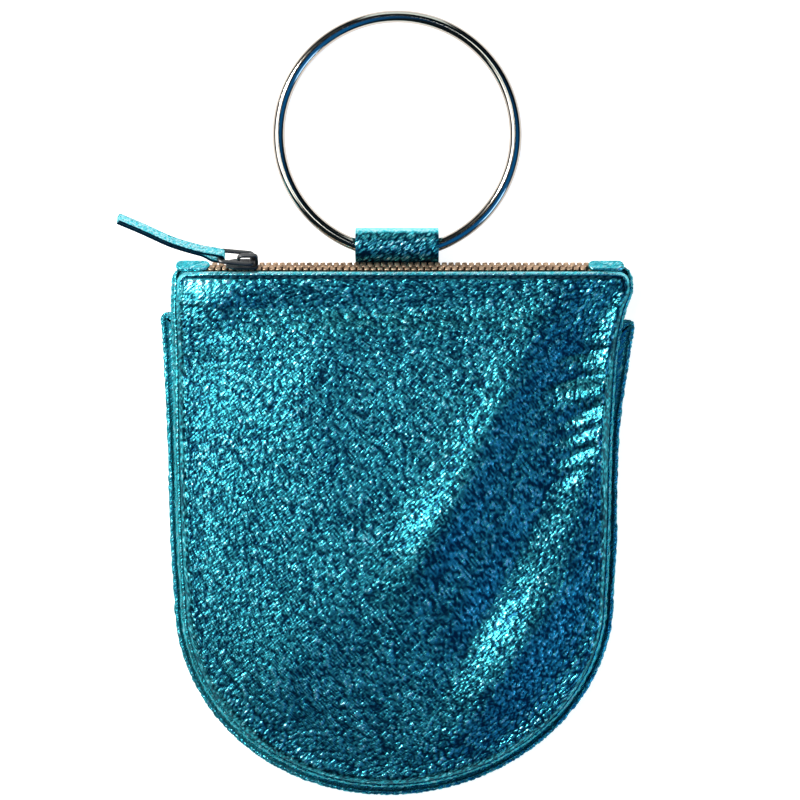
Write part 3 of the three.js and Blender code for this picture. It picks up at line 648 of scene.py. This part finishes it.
flat = u_grid(POUCH, evenly(BACK_ROLL["left"] + LEATHER), BACK_COLUMNS, BACK_ROWS)
grain = pebbles(*flat.reshape(-1, 2).T)
under = BACK_LOW + GRAIN_DEPTH * (1 - grain)
grid = np.column_stack([flat.reshape(-1, 2), under]).reshape(BACK_ROWS, BACK_COLUMNS, 3)
back_top = BACK_LOW + LEATHER
rings = [rolled(share, 0, share < 1) for share in np.linspace(0, 1, 13)]
rings += [rolled(share, LEATHER, 0) for share in (1, 0.6, 0.3, 0)]
rings += [flat_ring(POUCH, BACK_ROLL["left"] + LEATHER, share, back_top) for share in (1, 0.5)]
points, faces = shell(grid, rings, (0, 0, back_top))
relief = np.concatenate([grain, np.full(len(points) - len(grain), 0.6)])
back_finish = leather_finish("back_leather")
add_piece(
    "back_leather", points, faces, back_finish, "bag", ["back_panel"], relief
)


# Slip pocket behind the pouch
# A third panel, a little wider, open along its top. Its turned hem shows as a narrow band round
# the U. Its underside is the back of the bag.
POCKET = {
    "half_width": 92.6, "top": 87.6, "top_drop": 3, "bottom": -106.9,
    "corner_left": 3, "corner_right": 3,
    "sides": [
        {"drop": 0.03, "left": 1.028, "right": 1.035},
        {"drop": 0.14, "left": 1.018, "right": 1.013},
        {"drop": 0.36, "left": 1.004, "right": 0.974},
        {"drop": 0.57, "left": 0.995, "right": 0.961},
        {"drop": 0.79, "left": 0.987, "right": 0.957},
        {"drop": 1, "left": 0.97, "right": 0.943},
    ],
}
POCKET_HEM = 2.2
POCKET_HEM_RISE = 1.2

# The hem rolls over inward: how far in from the edge, and how far below its top.
HEM_ROLL = [
    {"inset": 1.4, "sink": 0}, {"inset": 1.7, "sink": 0.1},
    {"inset": 2.0, "sink": 0.4}, {"inset": 2.2, "sink": 1.3},
]

pocket_edge = u_loop(POCKET, evenly(0), BACK_COLUMNS, BACK_ROWS)
away = outward(pocket_edge)
hem_radius = (LEATHER + POCKET_HEM_RISE * (1 - np.maximum(away[:, 1], 0) ** 2)) / 2
hem_run = np.arange(len(pocket_edge)) * EDGE_STEP


def hemmed(turn, grained=1):
    """One ring round the folded edge of the hem, at that turn from its underside in degrees."""
    lift = GRAIN_DEPTH * (pebbles(hem_run, np.full(len(hem_run), turn / 30)) - 1) * grained
    across = math.sin(math.radians(turn))
    flat = pocket_edge - away * (hem_radius - (hem_radius + lift) * across)[:, None]
    return np.column_stack([flat, hem_radius - (hem_radius + lift) * math.cos(math.radians(turn))])


def hem_top(inset, sink):
    lift = GRAIN_DEPTH * (pebbles(hem_run, np.full(len(hem_run), 6 + inset)) - 1)
    flat = pocket_edge - away * inset
    return np.column_stack([flat, np.maximum(2 * hem_radius + lift - sink, LEATHER)])


flat = u_grid(POCKET, evenly(POCKET_HEM + LEATHER), BACK_COLUMNS, BACK_ROWS)
grain = pebbles(*flat.reshape(-1, 2).T)
grid = np.column_stack([flat.reshape(-1, 2), GRAIN_DEPTH * (1 - grain)])
rings = [hemmed(turn) for turn in np.linspace(0, 180, 11)]
rings += [hem_top(**step) for step in HEM_ROLL]
rings += [flat_ring(POCKET, POCKET_HEM + LEATHER, share, LEATHER) for share in (1, 0.5)]
points, faces = shell(grid.reshape(BACK_ROWS, BACK_COLUMNS, 3), rings, (0, 0, LEATHER))
relief = np.concatenate([grain, np.full(len(points) - len(grain), 0.6)])
pocket_finish = leather_finish("pocket_leather")
add_piece(
    "pocket_leather", points, faces, pocket_finish, "bag", ["back_pocket"], relief
)


# Zip tape
# A woven tape with a herringbone rib. It comes up from behind the front's edge, carries the teeth
# and goes down inside the back. It leans with the mouth of the bag.
ZIP_Y = 104.35
ZIP_HEIGHT = 8.6
ZIP_LEAN = 45
TEETH_LEFT = -74.8
TEETH_RIGHT = 76.4
TEETH_WIDTH = 4.6
TAPE_THICK = 0.6
TAPE_LEG = 13
TAPE_BEYOND_TEETH = 1.8
TAPE_LOW = 4.7


def from_zip(points):
    """Places given along, across and out from the leaning zip, in the bag's frame."""
    lean = math.radians(ZIP_LEAN)
    x, across, out = np.asarray(points, float).T
    y = ZIP_Y + across * math.cos(lean) + out * math.sin(lean)
    return np.column_stack([x, y, ZIP_HEIGHT - across * math.sin(lean) + out * math.cos(lean)])


def resampled(line, step):
    """A line of points about that far apart, with its first and last points kept."""
    line = np.asarray(line, float)
    run = np.concatenate([[0], np.cumsum(np.linalg.norm(np.diff(line, axis=0), axis=1))])
    place = np.linspace(0, run[-1], max(int(run[-1] / step), 2))
    return np.stack([np.interp(place, run, axis) for axis in line.T], axis=1)


def belt(line, start, end, thick, step, bevel=0.25, raised=None):
    """A strip of one thickness along a flat line, from start to end across it.

    Gives points as (line's first axis, line's second axis, across), faces, and each point's
    run along, place across and side. raised gives the height of its relief at such places.
    """
    ahead = np.gradient(line, axis=0)
    ahead /= np.linalg.norm(ahead, axis=1)[:, None]
    normal = np.stack([-ahead[:, 1], ahead[:, 0]], axis=1)
    run = np.concatenate([[0], np.cumsum(np.linalg.norm(np.diff(line, axis=0), axis=1))])
    across = np.linspace(start + bevel, end - bevel, max(int((end - start) / step), 2))
    half = thick / 2
    upper = np.column_stack([across, np.full(len(across), half)])
    right = [(end - bevel * 0.3, half - bevel * 0.3), (end, half - bevel), (end, bevel - half)]
    right += [(end - bevel * 0.3, bevel * 0.3 - half)]
    lower = np.column_stack([across[::-1], np.full(len(across), -half)])
    left = [(start + bevel * 0.3, bevel * 0.3 - half), (start, bevel - half), (start, half - bevel)]
    left += [(start + bevel * 0.3, half - bevel * 0.3)]
    section = np.concatenate([upper, right, lower, left])
    place = np.repeat(section[None], len(line), axis=0)
    along = np.repeat(run[:, None], len(section), axis=1)
    side = np.sign(place[..., 1])
    rise = 0 if raised is None else raised(along, place[..., 0]) * side
    level = place[..., 1] + rise
    flat = line[:, None] + normal[:, None] * level[..., None]
    points = np.concatenate([flat, place[..., :1]], axis=2).reshape(-1, 3)
    caps = [line[0], line[-1]]
    middle = (start + end) / 2
    points = np.concatenate([points, [(*cap, middle) for cap in caps]])
    where = along.ravel(), place[..., 0].ravel(), side.ravel()
    return points, tube_faces(len(line), len(section), closed=False), where


def tube_faces(rings, count, closed):
    """Faces of a tube of rings in order, closed on itself or by a fan to a last point at each end."""
    index = np.arange(rings * count).reshape(rings, count)
    following = np.roll(index, -1, axis=0) if closed else index[1:]
    first = index if closed else index[:-1]
    turned = np.roll(first, -1, axis=1), np.roll(following, -1, axis=1)
    faces = np.stack([first, turned[0], turned[1], following], axis=-1).reshape(-1, 4).tolist()
    if not closed:
        end = rings * count
        faces += [[end, index[0, (i + 1) % count], index[0, i]] for i in range(count)]
        faces += [[end + 1, index[-1, i], index[-1, (i + 1) % count]] for i in range(count)]
    return faces


front_edge = from_zip([(0, -TEETH_WIDTH / 2 + 0.1, 0)])[0, 1:]
back_edge_line = from_zip([(0, TEETH_WIDTH / 2 - 0.1, 0)])[0, 1:]
tape_line = resampled(
    [
        (front_edge[0] - TAPE_LEG, front_edge[1] + 0.2),
        (front_edge[0] - 1.5, front_edge[1] + 0.2),
        front_edge,
        back_edge_line,
        back_edge_line + (-0.6, -1.1),
        (back_edge_line[0] - 2, TAPE_LOW),
        (back_edge_line[0] - TAPE_LEG, TAPE_LOW),
    ],
    0.6,
)


def weave(along, across):
    return 0.05 * np.sin(across * 2 * np.pi / 1.4) * np.sin(along * 2 * np.pi / 1.2)


tape_ends = TEETH_LEFT - TAPE_BEYOND_TEETH, TEETH_RIGHT + TAPE_BEYOND_TEETH
points, faces, _ = belt(tape_line, *tape_ends, TAPE_THICK, 0.7, raised=weave)
tape_finish, surface, place = finish_of("tape_weave")
rib = {"Vector": place, "Scale": 500.0}
thread = place.node("ShaderNodeTexWave", {"bands_direction": "DIAGONAL"}, rib)
thread_tone = thread * 0.6 + place.noise(3) * 0.4
feed(surface.inputs["Base Color"], thread_tone.between((0.02, 0.02, 0.012), (0.16, 0.14, 0.09)))
surface.inputs["Roughness"].default_value = 0.85
bumped(surface, place, thread, 0.12)
add_piece("tape_weave", points[:, [2, 0, 1]], faces, tape_finish, "bag", ["zip_tape"])


# Zip teeth
# Two rows of cast brass teeth with a worn copper tone, clamped on the tape's edges. Each tooth of
# one row sits between two of the other, and their heads lock along the middle.
TOOTH_PITCH = 2.7
TOOTH_LONG = 2.2
TEETH_LOW = 0.6
TEETH_THICK = 1.2


def pillow(size, steps=10, square=0.35):
    """A closed block with rounded edges about the origin, as points and faces."""
    around = np.linspace(0, 2 * np.pi, 2 * steps, endpoint=False)
    up = np.linspace(-np.pi / 2, np.pi / 2, steps + 1)[1:-1]

    def eased(value):
        return np.sign(value) * np.abs(value) ** square

    ring = np.stack([eased(np.cos(around)), eased(np.sin(around))], axis=1)
    flat = eased(np.cos(up))[:, None, None] * ring[None]
    high = np.broadcast_to(eased(np.sin(up))[:, None, None], (*flat.shape[:2], 1))
    points = np.concatenate([flat, high], axis=2).reshape(-1, 3)
    points = np.concatenate([points, [(0, 0, -1), (0, 0, 1)]])
    return points * np.asarray(size) / 2, tube_faces(len(up), len(around), closed=False)


def many(shapes):
    """Several shapes of points and faces as one."""
    points, faces, start = [], [], 0
    for shape_points, shape_faces in shapes:
        points.append(shape_points)
        faces += [[i + start for i in face] for face in shape_faces]
        start += len(shape_points)
    return np.concatenate(points), faces


def turned_flat(points, degrees):
    turn = math.radians(degrees)
    x, y, z = points.T
    cos, sin = math.cos(turn), math.sin(turn)
    return np.column_stack([x * cos - y * sin, x * sin + y * cos, z])


tooth, tooth_faces = pillow((TOOTH_LONG, TEETH_WIDTH / 2 + 0.55, TEETH_THICK), 8)
head = 1 - 0.34 * smooth(-0.4, 1.2, tooth[:, 1])
tooth = tooth * np.column_stack([head, np.ones(len(tooth)), np.ones(len(tooth))])
row = []
tooth_count = round((TEETH_RIGHT - TEETH_LEFT) / TOOTH_PITCH)
for i in range(tooth_count):
    for side in (-1, 1):
        x = TEETH_LEFT + (i + 0.35 + 0.25 * side) * TOOTH_PITCH + 0.4
        middle = side * (TEETH_WIDTH / 4 - 0.275)
        shape = turned_flat(tooth * (1, -side, 1), 6 * side)
        row.append((from_zip(shape + (x, middle, TEETH_LOW + TEETH_THICK / 2)), tooth_faces))
points, faces = many(row)
brass, surface, place = finish_of("worn_brass")
wear = place.noise(1.6, 3)
worn_tone = wear.clipped(0.3, 0.62)
feed(surface.inputs["Base Color"], worn_tone.between((0.14, 0.08, 0.05), (0.5, 0.33, 0.22)))
feed(surface.inputs["Roughness"], 0.26 + wear * 0.25)
surface.inputs["Metallic"].default_value = 1
bumped(surface, place, wear, 0.04)
add_piece("brass_teeth", points, faces, brass, "bag", ["zip_teeth"])


# Leather tabs over the zip's ends
# A small piece of the same leather is folded over each end of the tape and sewn down between
# the front and the back.
END_TABS = [
    {"name": "end_leather_left", "node": "zip_end_tab_left", "start": TEETH_LEFT, "length": -13.6},
    {"name": "end_leather_right", "node": "zip_end_tab_right", "start": TEETH_RIGHT, "length": 14.4},
]
END_TAB_FRONT = 1.9
END_TAB_BACK = 3.3


def plate(outline_points, profile, relief_of=None):
    """A flat solid from a closed line and a profile of (inset, height) steps, with a fan at each end."""
    line = np.asarray(outline_points, float)
    out = outward(line)
    centre = line.mean(axis=0)
    rings = []
    for inset, z in profile:
        flat = line - out * min(inset, 0.5) + (centre - line) * max(inset - 0.5, 0)
        level = np.full(len(line), float(z))
        if relief_of is not None:
            level += relief_of(*flat.T) * (1 if z > profile[0][1] else 0)
        rings.append(np.column_stack([flat, level]))
    caps = [(*centre, profile[0][1]), (*centre, profile[-1][1])]
    points = np.concatenate([*rings, caps])
    return points, tube_faces(len(rings), len(line), closed=False)


def rounded_box(x0, x1, y0, y1, radius, step):
    """A clockwise rectangle with round corners."""
    corners = [
        arc(x0 + radius, y1 - radius, radius, 180, 90, 7),
        arc(x1 - radius, y1 - radius, radius, 90, 0, 7),
        arc(x1 - radius, y0 + radius, radius, 0, -90, 7),
        arc(x0 + radius, y0 + radius, radius, -90, -180, 7),
    ]
    line = np.concatenate([*corners, corners[0][:1]])
    return resampled(line, step)[:-1]


tab_finish = leather_finish("tab_leather")
for tab in END_TABS:
    end = tab["start"] + tab["length"]
    low, high = sorted((tab["start"], end))
    line = rounded_box(low, high, -END_TAB_FRONT, END_TAB_BACK, 2.5, 0.4)
    profile = [(0.4, 0.6), (0.1, 0.7), (0, 1.0), (0, 1.4), (0.15, 1.8), (0.4, 2.0)]
    profile += [(0.5 + share, 2.0) for share in (0.1, 0.25, 0.4, 0.55, 0.7, 0.85)]
    points, faces = plate(line, profile, lambda x, y: 0.05 * (pebbles(x, y) - 1))
    relief = mix(0.8, pebbles(points[:, 0], points[:, 1]), 0.3)
    add_piece(
        tab["name"], from_zip(points), faces, tab_finish, "bag", [tab["node"]], relief
    )


# Zip slider
# Cast gunmetal: a plate that runs over the teeth, with a bridge on top that carries the pull.
SLIDER_RIGHT = -55.4
SLIDER_LENGTH = 12.9
SLIDER_WIDTH = 5.6
PLATE_LOW = 2.1
PLATE_TOP = 3.3
BRIDGE_WIDTH = 1.8
BRIDGE_WIRE = 1.2
BRIDGE_HEIGHT = 4.6


def gunmetal_finish(name, tone, roughness):
    """Dark plated metal with faint clouds and fine scratches."""
    material, surface, place = finish_of(name)
    cloud = place.noise(22, 3)
    scratch = place.stretched((9, 1, 1), 20).noise(0.8, 4)
    feed(surface.inputs["Base Color"], cloud.between(tone, tuple(1.6 * each for each in tone)))
    feed(surface.inputs["Roughness"], roughness + scratch * 0.12)
    surface.inputs["Metallic"].default_value = 1
    bumped(surface, place, scratch, 0.01)
    return material


slider_left = SLIDER_RIGHT - SLIDER_LENGTH
half = SLIDER_WIDTH / 2
nose = [
    (slider_left, -half * 0.55), (slider_left, half * 0.55), (slider_left + 1.5, half * 0.85),
    (slider_left + 3.5, half), (SLIDER_RIGHT - 1.2, half), (SLIDER_RIGHT, half * 0.62),
    (SLIDER_RIGHT, -half * 0.62), (SLIDER_RIGHT - 1.2, -half), (slider_left + 3.5, -half),
    (slider_left + 1.5, -half * 0.85), (slider_left, -half * 0.55),
]
line = resampled(nose, 0.35)[:-1]
body_profile = [(0.3, PLATE_LOW), (0.05, PLATE_LOW + 0.1), (0, PLATE_LOW + 0.35), (0, PLATE_TOP - 0.45)]
body_profile += [(0.12, PLATE_TOP - 0.15), (0.35, PLATE_TOP), (0.55, PLATE_TOP), (0.8, PLATE_TOP)]
slider_body = plate(line, body_profile)
bridge_left = (slider_left + SLIDER_RIGHT) / 2 - 2.2
half_wire = BRIDGE_WIRE / 2
bridge_top = PLATE_TOP + BRIDGE_HEIGHT - half_wire
bridge_line = np.concatenate(
    [
        [(bridge_left + half_wire, PLATE_TOP - 0.2)],
        arc(bridge_left + half_wire + 1.7, bridge_top - 1.5, 1.5, 170, 90, 6),
        arc(SLIDER_RIGHT - half_wire - 1, bridge_top - 1, 1, 90, 0, 6),
        [(SLIDER_RIGHT - half_wire, PLATE_TOP - 0.2)],
    ]
)
bridge_points, bridge_faces, _ = belt(
    resampled(bridge_line, 0.3), -BRIDGE_WIDTH / 2, BRIDGE_WIDTH / 2, BRIDGE_WIRE, 0.3, 0.35
)
points, faces = many([slider_body, (bridge_points[:, [0, 2, 1]], bridge_faces)])
gunmetal = gunmetal_finish("slider_gunmetal", (0.06, 0.06, 0.062), 0.34)
add_piece("slider", from_zip(points), faces, gunmetal, "bag", ["zip_slider"])


# Pull link
# A loop of round gunmetal wire that hangs in the slider's bridge and lies over to the left.
LINK_WIRE = 1.5
LINK_WIDTH = 8
LINK_CORNER = 1.4
LINK_LENGTH = 14.5
LINK_RISE = 7
LINK_FLAT = 1.4
HINGE_X = SLIDER_RIGHT - BRIDGE_WIRE - 0.3 - LINK_WIRE / 2
HINGE_OUT = PLATE_TOP + BRIDGE_HEIGHT - BRIDGE_WIRE - 0.3 - LINK_WIRE / 2


def from_pull(points):
    """Places given along, across and out from the pull's hinge, in the bag's frame."""
    turn = math.radians(LINK_RISE)
    x, y, z = np.asarray(points, float).T
    along = x * math.cos(turn) + z * math.sin(turn)
    out = z * math.cos(turn) - x * math.sin(turn)
    return from_zip(np.column_stack([HINGE_X + along, y, HINGE_OUT + out]))


def wire(line, radius, sides=16, flat=1):
    """A closed wire along a closed line, round or wider in the line's plane by that factor."""
    out = outward(line)
    turn = np.linspace(0, 2 * np.pi, sides, endpoint=False)
    reach = flat * radius * np.cos(turn)[None, :, None] * out[:, None]
    high = np.broadcast_to(radius * np.sin(turn)[None, :, None], (len(line), sides, 1))
    points = np.concatenate([line[:, None] + reach, high], axis=2).reshape(-1, 3)
    return points, tube_faces(len(line), sides, closed=True)


half = (LINK_WIDTH - LINK_WIRE) / 2
far = -(LINK_LENGTH - LINK_WIRE)
link_line = rounded_box(far, 0, -half, half, LINK_CORNER, 0.35)
points, faces = wire(link_line, LINK_WIRE / 2, flat=LINK_FLAT)
link_metal = gunmetal_finish("link_gunmetal", (0.06, 0.06, 0.062), 0.32)
add_piece("pull_loop", from_pull(points), faces, link_metal, "pull", ["pull_link"])


# Leather pull
# A narrow strip of the same leather folded round the loop's far bar. Both layers run on together
# and curl up at the tip. Its cut edges are darker than its face.
THONG_WIDTH = 4.6
THONG_LAYER = 1.1
THONG_LENGTH = 41.6
THONG_OFFSET = 0.06

# The pull's route as shares of its length: along from the loop, and up.
THONG_ROUTE = [
    {"along": 0.16, "up": 0.038}, {"along": 0.34, "up": 0.082}, {"along": 0.51, "up": 0.138},
    {"along": 0.76, "up": 0.256}, {"along": 1, "up": 0.36},
]

inner = LINK_WIRE / 2 + 0.3
stops = [(far - 2.5, 0.3)]
for step in THONG_ROUTE:
    stops.append((far - step["along"] * THONG_LENGTH, step["up"] * THONG_LENGTH))
route = spline(stops, 90)
ahead = np.gradient(route, axis=0)
ahead /= np.linalg.norm(ahead, axis=1)[:, None]
side_of = np.stack([ahead[:, 1], -ahead[:, 0]], axis=1)
closing = smooth(0, 0.25, np.linspace(0, 1, len(route)))
reach = THONG_LAYER / 2 + mix(inner, THONG_OFFSET, closing)
thong_line = np.concatenate(
    [
        (route - side_of * reach[:, None])[::-1],
        arc(far, 0, inner + THONG_LAYER / 2, -90, 90, 12),
        route + side_of * reach[:, None],
    ]
)
points, faces, where = belt(
    resampled(thong_line, 0.45), -THONG_WIDTH / 2, THONG_WIDTH / 2, THONG_LAYER - 0.06, 0.35,
    raised=lambda along, across: 0.05 * (pebbles(along, across, 1.3) - 0.7),
)
across = np.abs(np.append(where[1], (0, 0)))
relief = mix(0.85, 0.15, smooth(THONG_WIDTH / 2 - 0.5, THONG_WIDTH / 2 - 0.1, across))
thong_finish = leather_finish("thong_leather")
add_piece(
    "thong_leather", from_pull(points[:, [0, 2, 1]]), faces, thong_finish, "pull", ["pull_thong"],
    relief,
)


# Strap round the ring
# A wide strip of leather goes from outside the back round the ring and down behind the teeth to
# inside the back, and is sewn through all of them. The roll over the ring is coloured paler and
# glossier, a painted highlight where light falls on its top.
STRAP_WIDTH = 33.4
STRAP_LEATHER = 1.1
STRAP_LEG = 10
AXIS_Y = 112.6
AXIS_HEIGHT = 5.838
LOOP_RADIUS = 4.988
STRAP_LOOP_TOP = 121
STRAP_ROLL_HIGHLIGHT = (118.2, 120)
STRAP_GRAIN = {"size": 1.6, "turn": 35, "stretch": 2.6}

low = AXIS_HEIGHT - LOOP_RADIUS
inside = BACK_LOW + LEATHER + 0.3 + STRAP_LEATHER / 2
near = AXIS_Y - LOOP_RADIUS
strap_line = np.concatenate(
    [
        [(near - 2 - STRAP_LEG, low), (AXIS_Y, low)],
        arc(STRAP_LOOP_TOP - LOOP_RADIUS - STRAP_LEATHER / 2, AXIS_HEIGHT, LOOP_RADIUS, -90, 90, 30),
        arc(AXIS_Y, AXIS_HEIGHT, LOOP_RADIUS, 90, 180, 16),
        arc(near - 2, inside + 2, 2, 0, -90, 8),
        [(near - 2 - STRAP_LEG, inside)],
    ]
)
points, faces, where = belt(
    resampled(strap_line, 0.5), -STRAP_WIDTH / 2, STRAP_WIDTH / 2, STRAP_LEATHER, 0.5,
    raised=lambda along, across: 0.12 * (pebbles(across, along, **STRAP_GRAIN) - 0.7),
)
# The top of the roll gets an even high relief, so its colour is paler there: a painted highlight.
roll_highlight = smooth(*STRAP_ROLL_HIGHLIGHT, points[:, 0])
relief = mix(pebbles(points[:, 2], points[:, 0], **STRAP_GRAIN), 0.95, roll_highlight)
strap_finish = leather_finish("strap_leather")
add_piece(
    "strap_leather", points[:, [2, 0, 1]], faces, strap_finish, "bag", ["ring_tab"],
    relief,
)


# Ring handle
# A closed ring of round steel bar with a dark polished plating. Its far side rests on the floor.
RING_RADIUS = 47.5
RING_WIRE = 5

sagitta = RING_RADIUS - math.sqrt(RING_RADIUS**2 - (STRAP_WIDTH / 2) ** 2)
to_axis = RING_RADIUS - sagitta / 2
tilt = math.asin((AXIS_HEIGHT - RING_WIRE / 2) / (RING_RADIUS + to_axis))
circle = arc(0, to_axis, RING_RADIUS, 360, 0, 241)[:-1]
points, faces = wire(circle, RING_WIRE / 2, 40)
x, y, z = points.T
points = np.column_stack(
    [
        x,
        AXIS_Y + y * math.cos(tilt) + z * math.sin(tilt),
        AXIS_HEIGHT - y * math.sin(tilt) + z * math.cos(tilt),
    ]
)
ring_metal = gunmetal_finish("ring_gunmetal", (0.31, 0.28, 0.25), 0.05)
add_piece("ring_steel", points, faces, ring_metal, "ring", ["ring_handle"])


# Stitches along the zip
# One row of dark teal thread holds the front's turned edge to the tape. It lies in the groove that
# it pulls into the leather.
STITCH_LENGTH = 2.5
STITCH_THICK = 0.6
STITCH_SLANT = 4
STITCH_RISE = 0.15

stitch_line = u_sides(POUCH, plus(FRONT_INSET, evenly(STITCH_INSET)))[0]
stitch_run = spaced(stitch_line, np.linspace(0, 1, DENSE))
run = np.concatenate([[0], np.cumsum(np.hypot(*np.diff(stitch_run, axis=0).T))])
places = np.arange(STITCH_PITCH, run[-1] - STITCH_PITCH, STITCH_PITCH)
middles = np.stack([np.interp(places, run, stitch_run[:, k]) for k in (0, 1)], axis=1)
levels = front_height(middles)[0]
stitch, stitch_faces = pillow((STITCH_LENGTH, STITCH_THICK, STITCH_THICK), 6, 0.8)
points, faces = many(
    (turned_flat(stitch, STITCH_SLANT) + (x, y, level + STITCH_RISE), stitch_faces)
    for (x, y), level in zip(middles, levels)
)
thread_finish, surface, place = finish_of("teal_thread")
ply = place.stretched((1, 0.3, 0.3), 30).noise(0.3, 1)
feed(surface.inputs["Base Color"], ply.between((0.001, 0.016, 0.026), (0.004, 0.06, 0.09)))
surface.inputs["Roughness"].default_value = 0.7
surface.inputs["Specular IOR Level"].default_value = 0.15
bumped(surface, place, ply, 0.05)
add_piece("edge_stitches", points, faces, thread_finish, "bag")
